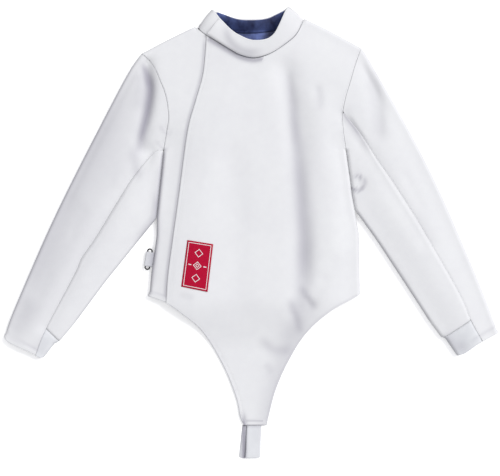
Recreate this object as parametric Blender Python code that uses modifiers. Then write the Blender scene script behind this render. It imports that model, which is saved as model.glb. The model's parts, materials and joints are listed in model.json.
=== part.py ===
"""A fencing jacket laid flat on its back, built panel by panel as it is sewn.

The jacket lies in the XY plane with its collar towards +Y and its pointed tail towards -Y. The front faces
+Z and the back rests on z = 0. Sizes in the tables are millimetres. Right and left are the wearer's, so the
wearer's right arm is at -X.
"""

import math

import bmesh
import bpy
import numpy as np
from mathutils import Matrix, Vector
from mathutils.bvhtree import BVHTree

MM = 0.001

MERGE = 1e-7

# Cloth and gaps, mm
CLOTH = 2.4
COLLAR_CLOTH = 3.0
LINING_CLOTH = 0.8
STRAP_CLOTH = 1.2
WEBBING_WIDTH = 30.0
SEAM_GAP = 0.3
LAYER_GAP = 0.35
SLEEVE_CLEAR = (0.432, -0.126)
COLLAR_CLEAR = 0.8
LINING_CLEAR = 0.8

# How the front stands over the back: the folds' radius, its crown, and where it sinks to the floor
ROLL_RADIUS = 8.0
ROLL_ANGLES = (0.0, 30.0, 60.0, 90.0)
CROWN_HEIGHT = 10.0
CROWN_SPREAD = 38.0
FOLD_FADE = 14.0
TAIL_TOP = -128.0
TAIL_DROP = 118.0
TAIL_REACH = 240.0

# The main front's overlap: its width, how softly it ends, and where it ends down the tail
OVERLAP_WIDTH = 40.0
OVERLAP_FADE = 60.0
OVERLAP_END = -152.0
OVERLAP_END_FADE = 90.0
NECK_BEND = 110.0
TOP_BEND_START = 60.0
TAIL_BEND = 120.0

# Outline of the laid body: x, y
SIDE_RIGHT = [(-212.5, -129.5), (-208, -120), (-205, -84), (-200, -52), (-194, -6), (-193.5, 31), (-179, 170)]
SIDE_LEFT = [(226.5, -126), (224, 0), (215.5, 48), (209.5, 80), (206, 110), (197.5, 170)]
ARMHOLE_RIGHT = [(-179, 170), (-171.8, 213), (-168, 239), (-173.5, 281), (-186, 315), (-202, 348),
                 (-224.5, 371.5)]
ARMHOLE_LEFT = [(197.5, 170), (191.5, 210), (189.5, 246), (196, 281), (205, 311), (216, 348), (228.5, 383)]
SHOULDER_RIGHT = [(-224.5, 371.5), (-170, 400), (-115.5, 426.5)]
SHOULDER_LEFT = [(112.5, 443), (168, 416), (228.5, 383)]
NECK_RIGHT = [(-115.5, 426.5), (-103, 416), (-90, 406.5)]
NECK_FRONT = [(-90, 406.5), (-67, 394.5), (-38, 379), (-20.5, 369), (5, 361.5), (28, 364.5),
              (57, 378), (94, 407), (112.5, 443)]
NECK_BACK = [(-115.5, 426.5), (-60, 422.5), (5, 420.5), (60, 427), (112.5, 443)]
PLACKET = [(-173.5, -143), (-170, -90), (-163, -35), (-147, 80), (-129.5, 209), (-113, 271), (-97, 330),
           (-90, 406.5)]
LEG_RIGHT = [(-173.5, -143), (-142, -165.5), (-99.5, -203), (-57, -273), (-30, -339.5), (-21.5, -380),
             (-13.5, -397)]
LEG_LEFT = [(226.5, -126), (216, -132.5), (164.5, -161.5), (115, -207), (77.5, -267), (52, -325),
            (38, -378), (34, -397)]

# Sleeves: outer and inner edges and the open end, each from the shoulder down
SLEEVE_RIGHT_OUTER = [(-224.5, 371.5), (-254, 327), (-315, 211), (-378, 87), (-427, -17), (-489, -161),
                      (-503.5, -201), (-508.5, -214)]
SLEEVE_RIGHT_INNER = [(-179, 170), (-193.5, 31), (-230, -14), (-300, -101), (-363, -186), (-394, -223),
                      (-404, -227), (-426, -256)]
SLEEVE_RIGHT_HEM = [(-508.5, -214), (-497, -226), (-453, -246), (-436, -256), (-426, -256)]
SLEEVE_LEFT_OUTER = [(228.5, 383), (246.5, 355), (298, 265), (349, 172), (396, 75), (435, -15), (474, -108),
                     (508, -197), (510.5, -204)]
SLEEVE_LEFT_INNER = [(197.5, 170), (206, 110), (209.5, 80), (215.5, 48), (260, -14), (317, -101),
                     (371.5, -185), (394, -215), (402, -217), (426, -252.5)]
SLEEVE_LEFT_HEM = [(510.5, -204), (473, -225), (455, -238), (441, -247.5), (426, -252.5)]

# Each sleeve's seam: share of the way from underarm to hem, share of the width from the outer edge
SEAM_RIGHT = [(0.0, 1.0), (0.08, 0.80), (0.20, 0.60), (0.45, 0.53), (0.70, 0.53), (0.85, 0.62), (1.0, 0.76)]
SEAM_LEFT = [(0.0, 1.0), (0.06, 0.80), (0.15, 0.62), (0.35, 0.48), (0.60, 0.43), (1.0, 0.44)]
# Where each cuff's insert starts: distance down the inner edge, and down the outer edge
INSERT_RIGHT = (463.4, 571.7)
INSERT_LEFT = (445.0, 598.3)

# The largest folds: path, height (down is negative), half width
FOLDS = [
    ([(72, 335), (92, 225), (104, 120), (109, 20), (110, -70), (104, -150)], -6.5, 24.0),
    ([(142, 270), (150, 190), (170, 100), (176, -30)], 3.0, 26.0),
    ([(-40, 150), (-30, 0), (-24, -160)], -2.0, 30.0),
    ([(-213, 352), (-207, 300), (-213, 245), (-224, 175)], -6.5, 13.0),
    ([(-202, 168), (-246, 112), (-285, 58), (-330, -20), (-372, -98), (-420, -190)], -4.5, 16.0),
    ([(-250, 300), (-300, 190), (-350, 80)], 2.5, 30.0),
    ([(247, 340), (258, 280), (263, 205)], -4.0, 18.0),
    ([(190, 244), (226, 193), (270, 120), (322, 40), (360, -20)], -5.0, 13.0),
    ([(150, -95), (126, -150)], -4.0, 11.0),
]

# Collar rim, from the tucked end, round the back, to the front end: x, y, z
RIM_TUCKED = [(-35, 419.5, 25), (-52, 437.5, 22), (-65.5, 455, 18.5), (-73, 465, 13.5)]
RIM_BACK = [(-73, 465, 13.5), (-66, 461.5, 8), (-51, 454, 13), (-23, 444, 30), (5, 441, 40),
            (34, 446, 37), (57, 454.5, 31), (71.5, 461.5, 28.5), (79.5, 466, 33)]
RIM_FRONT = [(79.5, 466, 33), (74, 455, 38.5), (63, 430, 39), (47, 406, 37), (32, 397.5, 36),
             (5, 398, 34.5), (-16, 404, 32), (-36, 419, 28), (-62, 446, 22.5)]
COLLAR_BOW = 2.5
# Share of the collar's height at each row of its grid
COLLAR_ROWS = (0.0, 0.07, 0.30, 0.54, 0.78, 1.0)
# The front end rides up over the tucked end: columns from its end, and columns of the rise
COLLAR_OVER = (8, 5)
COLLAR_OVER_SHARE = 0.35
# Columns of the collar's back that its lining leaves bare at each end
LINING_ENDS = (3, 2)

# Half-moon of lining below the back neck: clear of the neckline's ends and edge, centre, half sizes
NECK_LINING_ENDS = 26.0
NECK_LINING_EDGE = 1.0
NECK_LINING_CENTRE = (-2.0, 414.0)
NECK_LINING_SIZE = (84.0, 66.0)
NECK_LINING_TURN = (8.0, 172.0)

# Layout of the grids: steps between the named breaks, besides those of the rolls
BODY_STEPS = 10
ARMHOLE_STEPS = 8
TAIL_MARKS = (2.2, 6.5, 12.5)
TAIL_STEPS = 9
SHOULDER_RIGHT_STEPS = 3
SHOULDER_LEFT_STEPS = 4
NECK_RIGHT_STEPS = 1
NECK_FRONT_STEPS = 9
NECK_BACK_STEPS = 4
UNDERARM_MARKS = (3.0, 7.0, 14.0)
SLEEVE_STEPS = 9
CUFF_SHARES = (0.23, 0.60, 1.0)
UPPER_STEPS = 4
UPPER_END = (8.0, 3.0, 0.0)
UNDER_STEPS = 2

LABEL_CORNERS = [(-129.5, -14), (-76.5, -22.5), (-88, -120.5), (-142, -109.5)]
LABEL_GRID = (7, 5)
LABEL_CLOTH = 0.9
LABEL_LIFT = 0.5

CASING_CENTRE = (9.3, -392.5)
CASING_SIZE = (36.0, 7.5, 1.9)
CASING_ROUND = 0.7

# Crotch strap: where it leaves the tail, where it turns, and the height of its front leg there
STRAP_TOP = -397.4
STRAP_END = -465.5
STRAP_HEIGHT = 4.8
STRAP_SKEW = 13.0

# Wire ring and its webbing loop at the right side
BUCKLE_WIRE = 3.0
BUCKLE_SIZE = (9.0, 42.0)
BUCKLE_CORNER = 4.0
SIDE_STRAP_CENTRE = (-210.3, -53.5)
SIDE_STRAP_TILT = -9.0
SIDE_STRAP_REACH = 9.7
SIDE_STRAP_SLACK = 0.45

WHITE = (0.86, 0.86, 0.89)
ELASTIC_WHITE = (0.80, 0.81, 0.84)
BLUE = (0.03, 0.06, 0.24)
CRIMSON = (0.52, 0.01, 0.05)
BLACK = (0.02, 0.02, 0.025)


def smoothstep(value):
    """0 below 0, 1 above 1, with a soft start and end."""
    value = np.clip(value, 0.0, 1.0)
    return value * value * (3.0 - 2.0 * value)


def spline(points, per_span=14):
    """Dense points of a Catmull-Rom curve through the given points, in 2 or 3 dimensions."""
    p = np.array(points, float)
    p = np.vstack([2 * p[0] - p[1], p, 2 * p[-1] - p[-2]])
    t = np.linspace(0.0, 1.0, per_span, endpoint=False)[:, None]
    spans = []
    for a, b, c, d in zip(p[:-3], p[1:-2], p[2:-1], p[3:]):
        spans.append(b + 0.5 * t * (c - a + t * (2 * a - 5 * b + 4 * c - d + t * (3 * (b - c) + d - a))))
    return np.vstack(spans + [p[-2][None]])


def lengths(curve):
    """Distance along a dense curve at each of its points."""
    return np.concatenate([[0.0], np.cumsum(np.linalg.norm(np.diff(curve, axis=0), axis=1))])


def along(curve, marks):
    """Points of a curve at the given distances from its start."""
    run = lengths(curve)
    return np.stack([np.interp(marks, run, curve[:, k]) for k in range(curve.shape[1])], axis=1)


def steps(start, end, count):
    """Equal steps after the start, up to and with the end."""
    return list(np.linspace(start, end, count + 1)[1:])


ROLL_MARKS = [ROLL_RADIUS * (1 - math.cos(math.radians(a))) for a in ROLL_ANGLES]
ROLL_SINES = [math.sin(math.radians(a)) for a in ROLL_ANGLES]
ROLL_STEPS = len(ROLL_MARKS) - 1
SEAM_SINE = 0.5 * SEAM_GAP / ROLL_RADIUS


def roll_of(distance):
    """Share of the roll's height at a distance in from a fold."""
    inside = np.clip(1.0 - np.asarray(distance) / ROLL_RADIUS, 0.0, 1.0)
    return np.sqrt(1.0 - inside * inside)


def distance_to(points, curve):
    """Least distance from each point to a curve, in the plane."""
    a, b = curve[:-1], curve[1:]
    run = b - a
    square = np.maximum((run * run).sum(1), 1e-9)
    offset = points[:, None, :] - a[None]
    share = np.clip((offset * run[None]).sum(2) / square[None], 0.0, 1.0)
    near = offset - share[..., None] * run[None]
    return np.sqrt((near * near).sum(2)).min(1)


FOLD_EDGES = [
    np.vstack([spline(SHOULDER_RIGHT)[::-1], spline(SLEEVE_RIGHT_OUTER)]),
    np.vstack([spline(SHOULDER_LEFT), spline(SLEEVE_LEFT_OUTER)]),
    np.array(SIDE_RIGHT, float),
    np.array(SLEEVE_RIGHT_INNER, float),
    np.array(SIDE_LEFT, float),
    np.array(SLEEVE_LEFT_INNER, float),
]
PLACKET_CURVE = spline(PLACKET)


def front_height(points, roll):
    """Height of the front's outer face at points in the plane, which roll over the folds by `roll`."""
    flat = points.reshape(-1, 2)
    near = sum(np.maximum(distance_to(flat, edge), 0.5) ** -3.0 for edge in FOLD_EDGES) ** (-1 / 3.0)
    inner = np.clip((near - ROLL_RADIUS) / CROWN_SPREAD, 0.0, None)
    rise = CROWN_HEIGHT * inner * inner / (1.0 + inner * inner)
    open_share = smoothstep((near - ROLL_RADIUS) / FOLD_FADE)
    for path, height, width in FOLDS:
        gap = distance_to(flat, spline(path, 6))
        rise = rise + open_share * height * np.exp(-((gap / width) ** 2))
    top = ROLL_RADIUS * (1.0 + roll.reshape(-1)) + rise
    drop = smoothstep((TAIL_TOP - flat[:, 1]) / TAIL_DROP) * (np.abs(flat[:, 0]) < TAIL_REACH)
    return (top * (1.0 - drop) + CLOTH * drop).reshape(points.shape[:2])


def overlap_lift(points):
    """How far the main front rides over the side front near its closing edge."""
    flat = points.reshape(-1, 2)
    gap = distance_to(flat, PLACKET_CURVE)
    side = 1.0 - smoothstep((gap - OVERLAP_WIDTH - 4.0) / OVERLAP_FADE)
    down = 1.0 - smoothstep((OVERLAP_END - flat[:, 1]) / OVERLAP_END_FADE)
    return ((CLOTH + LAYER_GAP) * side * down).reshape(points.shape[:2])


def material(name, colour, roughness):
    made = bpy.data.materials.new(name)
    made.use_nodes = True
    shader = made.node_tree.nodes["Principled BSDF"]
    shader.inputs["Base Color"].default_value = (*colour, 1.0)
    shader.inputs["Roughness"].default_value = roughness
    shader.inputs["Metallic"].default_value = 0.0
    made.diffuse_color = (*colour, 1.0)
    return made


def add_node(name, mesh, colour, roughness):
    made = bpy.data.objects.new(name, mesh)
    mesh.materials.append(material(name, colour, roughness))
    PARTS.objects.link(made)
    return made


def wall(name, outer, inner, colour, roughness=0.85):
    """The closed wall between two like grids of points, given in mm, both split along the same diagonals."""
    rows, columns = outer.shape[:2]
    count = rows * columns
    points = np.vstack([outer.reshape(-1, 3), inner.reshape(-1, 3)]) * MM

    def at(row, column, layer=0):
        return layer * count + row * columns + column

    faces = []
    for r in range(rows - 1):
        for c in range(columns - 1):
            for middle in ((r, c + 1), (r + 1, c)):
                corners = ((r, c), middle, (r + 1, c + 1))
                faces.append([at(*corner) for corner in corners])
                faces.append([at(*corner, 1) for corner in reversed(corners)])
    rim = [(0, c) for c in range(columns)] + [(r, columns - 1) for r in range(1, rows)]
    rim += [(rows - 1, c) for c in range(columns - 2, -1, -1)] + [(r, 0) for r in range(rows - 2, 0, -1)]
    for here, there in zip(rim, rim[1:] + rim[:1]):
        faces.append([at(*here), at(*here, 1), at(*there, 1), at(*there)])
    mesh = bpy.data.meshes.new(name)
    mesh.from_pydata([tuple(p) for p in points], [], faces)
    shape = bmesh.new()
    shape.from_mesh(mesh)
    bmesh.ops.remove_doubles(shape, verts=shape.verts, dist=MERGE)
    bmesh.ops.recalc_face_normals(shape, faces=shape.faces)
    shape.to_mesh(mesh)
    shape.free()
    mesh.shade_smooth()
    mesh.set_sharp_from_angle(angle=math.radians(45))
    return add_node(name, mesh, colour, roughness)


def unit(vectors):
    """The vectors at length 1."""
    return vectors / np.maximum(np.linalg.norm(vectors, axis=-1, keepdims=True), 1e-9)


class Sheet:
    """One laid layer as a grid: places in the plane, roll over the folds, and the way in from the fold."""

    def __init__(self, places, roll, inward):
        self.places, self.roll, self.inward = places, roll, inward

    def front(self, lift=0.0):
        """Outer and inner points of the upper layer."""
        height = front_height(self.places, self.roll) + lift
        return self._faces(height, 1.0)

    def back(self):
        """Outer and inner points of the layer on the floor."""
        return self._faces(ROLL_RADIUS * (1.0 - self.roll), -1.0)

    def _faces(self, height, side):
        lean = np.sqrt(np.clip(1.0 - self.roll ** 2, 0.0, 1.0))
        outer = np.dstack([self.places, height])
        plane = self.places + self.inward * (CLOTH * lean)[..., None]
        return outer, np.dstack([plane, height - side * CLOTH * self.roll])


def ruled(left, right, marks, top, weights):
    """Rows from each left point to its right point, bent towards the top curve by each row's weight."""
    run = lengths(top)
    bend = top - top[0] - (run / run[-1])[:, None] * (top[-1] - top[0])
    grid = []
    for a, b, mark, weight in zip(left, right, marks, weights):
        share = np.array(mark) / mark[-1]
        grid.append(a + share[:, None] * (b - a) + weight * bend)
    return np.array(grid)


def top_weights(line):
    """How far each row follows the top curve, from the chest up."""
    share = (line[:, 1] - TOP_BEND_START) / (line[-1, 1] - TOP_BEND_START)
    return np.clip(share, 0.0, 1.0) ** 1.5


def armhole_marks(total):
    """Distances along an armhole from the shoulder point, close together where it meets a fold."""
    marks = list(ROLL_MARKS) + steps(ROLL_MARKS[-1], total - ROLL_MARKS[-1], ARMHOLE_STEPS)
    return marks + [total - m for m in ROLL_MARKS[-2::-1]]


def side_points(side, armhole):
    """The body's side from hem to shoulder point: up the side fold, then along the armhole."""
    side, armhole = np.array(side, float), spline(armhole)
    fold = along(side, np.linspace(0.0, lengths(side)[-1], BODY_STEPS + 1))
    total = lengths(armhole)[-1]
    marks = [total - m for m in armhole_marks(total)][::-1]
    return np.vstack([fold[:-1], along(armhole, marks)])


def level_points(curve, levels):
    """Points of a rising curve at the given heights in the plane."""
    return np.stack([np.interp(levels, curve[:, 1], curve[:, 0]), levels], axis=1)


def row_levels(top):
    """Heights in the plane of the body's rows along a line from hem to neck that ends at `top`."""
    low, arm = PLACKET[0][1], SIDE_RIGHT[-1][1]
    marks = list(np.linspace(low, arm, BODY_STEPS + 1))
    marks += [arm + m for m in ROLL_MARKS[1:]]
    marks += steps(arm + ROLL_MARKS[-1], top - ROLL_MARKS[-1], ARMHOLE_STEPS)
    return np.array(marks + [top - m for m in ROLL_MARKS[-2::-1]])


ROW_SIDE_ROLL = [SEAM_SINE] * (BODY_STEPS + 1) + ROLL_SINES[1:] + [1.0] * (ARMHOLE_STEPS + ROLL_STEPS)
ROW_TOP_ROLL = [1.0] * (BODY_STEPS + 1 + ROLL_STEPS + ARMHOLE_STEPS) + ROLL_SINES[-2:0:-1] + [SEAM_SINE]


def neck_columns(shoulder, neck, shoulder_steps, neck_steps, from_shoulder=True):
    """Top edge over a shoulder and a stretch of neckline: its points, and their roll at the top."""
    shoulder, neck = spline(shoulder), spline(neck)
    over, round_neck = lengths(shoulder)[-1], lengths(neck)[-1]
    if from_shoulder:
        first = along(shoulder, list(ROLL_MARKS) + steps(ROLL_MARKS[-1], over, shoulder_steps))
        second = along(neck, ROLL_MARKS[1:] + steps(ROLL_MARKS[-1], round_neck, neck_steps))
        rolls = [SEAM_SINE] * len(first) + ROLL_SINES[1:] + [1.0] * neck_steps
        return np.vstack([first, second]), rolls
    marks = [0.0] + steps(0.0, round_neck - ROLL_MARKS[-1], neck_steps)
    first = along(neck, marks + [round_neck - m for m in ROLL_MARKS[-2:0:-1]])
    second = along(shoulder, [0.0] + steps(0.0, over - ROLL_MARKS[-1], shoulder_steps)
                   + [over - m for m in ROLL_MARKS[-2::-1]])
    rolls = [1.0] * len(marks) + ROLL_SINES[-2:0:-1] + [SEAM_SINE] * len(second)
    return np.vstack([first, second]), rolls


def fit_marks(width, shares, left_roll=False, right_roll=False):
    """Distances along a row: the roll's own at a rolled end, and the given shares in between."""
    low = ROLL_MARKS[-1] if left_roll else 0.0
    high = width - (ROLL_MARKS[-1] if right_roll else 0.0)
    start = ROLL_MARKS[:-1] if left_roll else []
    end = [width - m for m in ROLL_MARKS[-2::-1]] if right_roll else []
    return list(start) + [low + s * (high - low) for s in shares] + end


def shares_between(points, first, last):
    """Shares of the run between two of a curve's points, at each point from the first to the last."""
    run = lengths(points)
    return [(run[k] - run[first]) / (run[last] - run[first]) for k in range(first, last + 1)]


def top_inward(places):
    """Way in from the top edge, for each column."""
    return np.repeat(unit(places[-1 - ROLL_STEPS] - places[-1])[None], len(places), axis=0)


def side_inward(places, near, far, columns):
    """Way in from a side fold for each row, over a number of columns."""
    return np.repeat(unit(places[:, far] - places[:, near])[:, None], columns, axis=1)


def combine(side_roll, top_roll, side_in, top_in):
    """Roll and way in of a body grid: the lesser roll of side and top wins, and brings its way in."""
    side = np.maximum(np.array(ROW_SIDE_ROLL)[:, None], np.array(side_roll)[None])
    top = np.maximum(np.array(ROW_TOP_ROLL)[:, None], np.array(top_roll)[None])
    return np.minimum(side, top), np.where((side < top)[..., None], side_in, top_in)


def side_front_sheet():
    """The side front, from the side fold and armhole to under the main front's edge."""
    left = side_points(SIDE_RIGHT, ARMHOLE_RIGHT)
    placket = level_points(PLACKET_CURVE, row_levels(PLACKET[-1][1]))
    top, top_roll = neck_columns(SHOULDER_RIGHT, NECK_RIGHT, SHOULDER_RIGHT_STEPS, NECK_RIGHT_STEPS)
    shares = shares_between(top, ROLL_STEPS, len(top) - 1)
    widths = np.linalg.norm(placket - left, axis=1)
    marks = [fit_marks(w, shares, left_roll=True) for w in widths]
    places = ruled(left, placket, marks, top, top_weights(placket))
    places = np.concatenate([places, strip_places()[:, 1:]], axis=1)
    columns = places.shape[1]
    side_roll = ROLL_SINES + [1.0] * (columns - len(ROLL_SINES))
    top_roll = top_roll + [1.0] * (columns - len(top_roll))
    side_in = side_inward(places, 0, ROLL_STEPS, columns)
    return Sheet(places, *combine(side_roll, top_roll, side_in, top_inward(places)))


def strip_places():
    """Rows of the overlap: the main front's edge, and points in from it that both fronts share."""
    placket = level_points(PLACKET_CURVE, row_levels(PLACKET[-1][1]))
    marks = np.array([0.0, OVERLAP_WIDTH / 2, OVERLAP_WIDTH])
    neck = along(spline(NECK_FRONT), marks)
    level = np.stack([marks, np.zeros(3)], axis=1)
    bend = smoothstep((placket[:, 1] - PLACKET[-1][1] + NECK_BEND) / NECK_BEND)[:, None, None]
    return placket[:, None] + (1 - bend) * level[None] + bend * (neck - neck[0])[None]


def main_front_sheet():
    """The main front above the side hem, from its closing edge to the side fold and armhole."""
    right = side_points(SIDE_LEFT, ARMHOLE_LEFT)
    strip = strip_places()
    neck = spline(NECK_FRONT)
    neck_rest = along(neck, np.linspace(OVERLAP_WIDTH, lengths(neck)[-1], 90))
    top, top_roll = neck_columns(SHOULDER_LEFT, neck_rest, SHOULDER_LEFT_STEPS, NECK_FRONT_STEPS,
                                 from_shoulder=False)
    shares = shares_between(top, 0, len(top) - 1 - ROLL_STEPS)
    left = strip[:, -1]
    widths = np.linalg.norm(right - left, axis=1)
    marks = [fit_marks(w, shares, right_roll=True) for w in widths]
    places = np.concatenate([strip[:, :-1], ruled(left, right, marks, top, top_weights(left))], axis=1)
    columns = places.shape[1]
    side_roll = [1.0] * (columns - len(ROLL_SINES)) + ROLL_SINES[::-1]
    top_roll = [1.0] * (columns - len(top_roll)) + top_roll
    side_in = side_inward(places, -1, -1 - ROLL_STEPS, columns)
    return Sheet(places, *combine(side_roll, top_roll, side_in, top_inward(places)))


def tail_rows(hem):
    """Rows of the tail from its tip up to below the main front's hem row, between the two leg curves."""
    right_leg, left_leg = spline(LEG_RIGHT), spline(LEG_LEFT)
    short_run, long_run = lengths(right_leg)[-1], lengths(left_leg)[-1]
    long_marks = list(TAIL_MARKS) + steps(TAIL_MARKS[-1], long_run, TAIL_STEPS)
    left = along(right_leg, [m * short_run / long_run for m in long_marks])
    right = along(left_leg, long_marks)
    shares = (lengths(hem) / lengths(hem)[-1])[:, None]
    curve = hem - hem[0] - shares * (hem[-1] - hem[0])
    rows = []
    for a, b, mark in zip(left, right, long_marks):
        rows.append(a + shares * (b - a) + (1.0 - smoothstep(mark / TAIL_BEND)) * curve)
    places = np.array(rows[::-1])
    roll = roll_of(LEG_LEFT[0][0] - places[..., 0])
    inward = np.zeros_like(places)
    inward[..., 0] = -1.0
    return Sheet(places, roll, inward)


def stack(first, second):
    """Two sheets joined row on row."""
    return Sheet(np.concatenate([first.places, second.places]), np.concatenate([first.roll, second.roll]),
                 np.concatenate([first.inward, second.inward]))


def back_sheet():
    """The back, from side fold to side fold and from hem to the shoulders and back neck."""
    left = side_points(SIDE_RIGHT, ARMHOLE_RIGHT)
    right = side_points(SIDE_LEFT, ARMHOLE_LEFT)
    neck = spline(NECK_BACK)
    half = lengths(neck)[-1] / 2
    first, first_roll = neck_columns(SHOULDER_RIGHT, along(neck, np.linspace(0, half, 60)),
                                     SHOULDER_RIGHT_STEPS, NECK_BACK_STEPS)
    second, second_roll = neck_columns(SHOULDER_LEFT, along(neck, np.linspace(half, 2 * half, 60)),
                                       SHOULDER_LEFT_STEPS, NECK_BACK_STEPS, from_shoulder=False)
    top = np.vstack([first, second[1:]])
    shares = shares_between(top, ROLL_STEPS, len(top) - 1 - ROLL_STEPS)
    widths = np.linalg.norm(right - left, axis=1)
    marks = [fit_marks(w, shares, left_roll=True, right_roll=True) for w in widths]
    places = ruled(left, right, marks, top, top_weights(left))
    columns = places.shape[1]
    side_roll = ROLL_SINES + [1.0] * (columns - 2 * len(ROLL_SINES)) + ROLL_SINES[::-1]
    middle = columns // 2
    from_left = side_inward(places, 0, ROLL_STEPS, middle)
    from_right = side_inward(places, -1, -1 - ROLL_STEPS, columns - middle)
    side_in = np.concatenate([from_left, from_right], axis=1)
    return Sheet(places, *combine(side_roll, first_roll + second_roll[1:], side_in, top_inward(places)))


def square_in(points, inside):
    """Way in from an edge, square to it, at each of its points."""
    run = np.gradient(points, axis=0)
    side = unit(np.stack([-run[:, 1], run[:, 0]], axis=1))
    facing = ((inside - points) * side).sum(1)
    return side * np.where(facing < 0, -1.0, 1.0)[:, None]


def sleeve_ends(outer, inner, armhole, insert):
    """Where a sleeve's rows end on its outer edge, and on the armhole and then the inner edge.

    Also the row at the underarm, and each lower row's share of the way from underarm to hem.
    """
    total, outer_run, inner_run = (lengths(curve)[-1] for curve in (armhole, outer, inner))
    arm_marks = np.array(armhole_marks(total))
    foot = lengths(outer)[np.argmin(np.linalg.norm(outer - armhole[-1], axis=1))]
    inner_marks = list(UNDERARM_MARKS) + steps(UNDERARM_MARKS[-1], insert[0], SLEEVE_STEPS)
    outer_marks = list(np.interp(inner_marks, [0.0, insert[0]], [foot, insert[1]]))
    inner_marks += [insert[0] + s * (inner_run - insert[0]) for s in CUFF_SHARES]
    outer_marks += [insert[1] + s * (outer_run - insert[1]) for s in CUFF_SHARES]
    outer_ends = along(outer, np.concatenate([arm_marks * foot / total, outer_marks]))
    inner_ends = np.vstack([along(armhole, arm_marks), along(inner, inner_marks)])
    return outer_ends, inner_ends, len(arm_marks) - 1, np.array(inner_marks) / inner_run


def spread_marks(width, low_roll, steps_between, high_steps):
    """Shares of a row of this width: close together over the outer roll, even, and close at the far end."""
    reach = min(ROLL_RADIUS, 0.3 * width)
    start = [m / ROLL_RADIUS * reach for m in ROLL_MARKS] if low_roll else [0.0]
    far = [width - m / ROLL_RADIUS * reach for m in high_steps]
    return np.array(start + steps(start[-1], far[0], steps_between) + far[1:]) / width


def sleeve_sheets(outer, inner, hem, armhole, seam_table, insert, away):
    """A laid sleeve's upper part and under part. `away` is the way from the body, -1 or 1 in x."""
    shift = np.array([away * SLEEVE_CLEAR[0], SLEEVE_CLEAR[1]])
    outer, inner = spline(outer) + shift, np.array(inner, float) + shift
    armhole, hem = spline(armhole)[::-1] + shift, spline(hem) + shift
    outer_ends, inner_ends, underarm, down = sleeve_ends(outer, inner, armhole, insert)
    outer_in = square_in(outer_ends, inner_ends)
    inner_in = square_in(inner_ends, outer_ends)
    armhole_way = unit(along(armhole, [ROLL_RADIUS])[0] - armhole[0])
    off_tip = smoothstep(np.linalg.norm(outer_ends - outer_ends[0], axis=1) / ROLL_RADIUS)[:, None]
    hem_run = lengths(hem)

    def row_places(row, shares):
        line = outer_ends[row] + shares[:, None] * (inner_ends[row] - outer_ends[row])
        past = row - (len(outer_ends) - 1 - len(CUFF_SHARES))
        if past > 0:
            chord = hem[0] + shares[:, None] * (hem[-1] - hem[0])
            line = line + CUFF_SHARES[past - 1] * (along(hem, shares * hem_run[-1]) - chord)
        return line

    def laid(places, shares, rows):
        flat = places.reshape(-1, 2)
        from_outer = roll_of(distance_to(flat, outer)).reshape(places.shape[:2])
        from_inner = roll_of(distance_to(flat, inner)).reshape(places.shape[:2])
        blend = shares[..., None]
        edge_way = unit(off_tip[rows] * outer_in[rows] + (1 - off_tip[rows]) * armhole_way)
        outer_way = unit((1 - blend) * edge_way[:, None] + blend * armhole_way)
        inner_way = np.repeat(inner_in[rows][:, None], places.shape[1], axis=1)
        inward = np.where((from_outer <= from_inner)[..., None], outer_way, inner_way)
        return Sheet(places, np.minimum(from_outer, from_inner), inward)

    rows = list(range(len(outer_ends)))
    widths = np.linalg.norm(inner_ends - outer_ends, axis=1)
    seam = np.ones(len(rows))
    seam[underarm + 1:] = np.interp(down, [s for s, _ in seam_table], [w for _, w in seam_table])
    shares = np.array([spread_marks(max(w, 1e-3), True, UPPER_STEPS, UPPER_END) * s
                       for w, s in zip(widths * seam, seam)])
    upper = laid(np.array([row_places(r, shares[r]) for r in rows]), shares, rows)
    seam_line = upper.places[:, -1]
    clear = square_in(seam_line[underarm:], outer_ends[underarm:]) * SEAM_GAP
    under_edge = seam_line[underarm:] - clear
    under_rows = rows[underarm + 1:]
    under_places, under_shares = [], []
    for row, start in zip(under_rows, under_edge[1:]):
        marks = spread_marks(np.linalg.norm(inner_ends[row] - start), False, UNDER_STEPS, ROLL_MARKS[::-1])
        share = seam[row] + (1.0 - seam[row]) * marks
        places = row_places(row, share)
        under_places.append(places + (1.0 - marks)[:, None] * (start - places[0]))
        under_shares.append(share)
    under = laid(np.array(under_places), np.array(under_shares), under_rows)
    upper.roll[1:, -1] = np.maximum(upper.roll[1:, -1], SEAM_SINE)
    upper.inward[0] = armhole_way
    return upper, under


def wrap(front_faces, back_faces, fold_last):
    """One strip of cloth from the upper layer round a fold to the lower layer."""
    joined = []
    for upper, lower in zip(front_faces, back_faces):
        if fold_last:
            joined.append(np.concatenate([upper, lower[:, ::-1][:, 1:]], axis=1))
        else:
            joined.append(np.concatenate([upper[:, ::-1], lower[:, 1:]], axis=1))
    return joined


def split_rows(faces, row):
    """A strip's rows up to one row and from it on, half a seam gap clear on each side."""
    before, after = [], []
    for face in faces:
        step = unit(face[row + 1] - face[row]) * 0.5 * SEAM_GAP
        before.append(np.concatenate([face[:row], (face[row] - step)[None]]))
        after.append(np.concatenate([(face[row] + step)[None], face[row + 1:]]))
    return before, after


def make_sleeve(prefix, outer, inner, hem, armhole, seam_table, insert, away):
    """A sleeve's three pieces: upper, under, and the elastic insert below the under part."""
    upper, under = sleeve_sheets(outer, inner, hem, armhole, seam_table, insert, away)
    wall(f"{prefix}_sleeve_upper", *wrap(upper.front(), upper.back(), fold_last=False), WHITE)
    strip = wrap(under.front(), under.back(), fold_last=True)
    sleeve, cuff = split_rows(strip, len(UNDERARM_MARKS) + SLEEVE_STEPS - 1)
    wall(f"{prefix}_sleeve_under", *sleeve, WHITE)
    wall(f"{prefix}_cuff_insert", *cuff, ELASTIC_WHITE)


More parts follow.
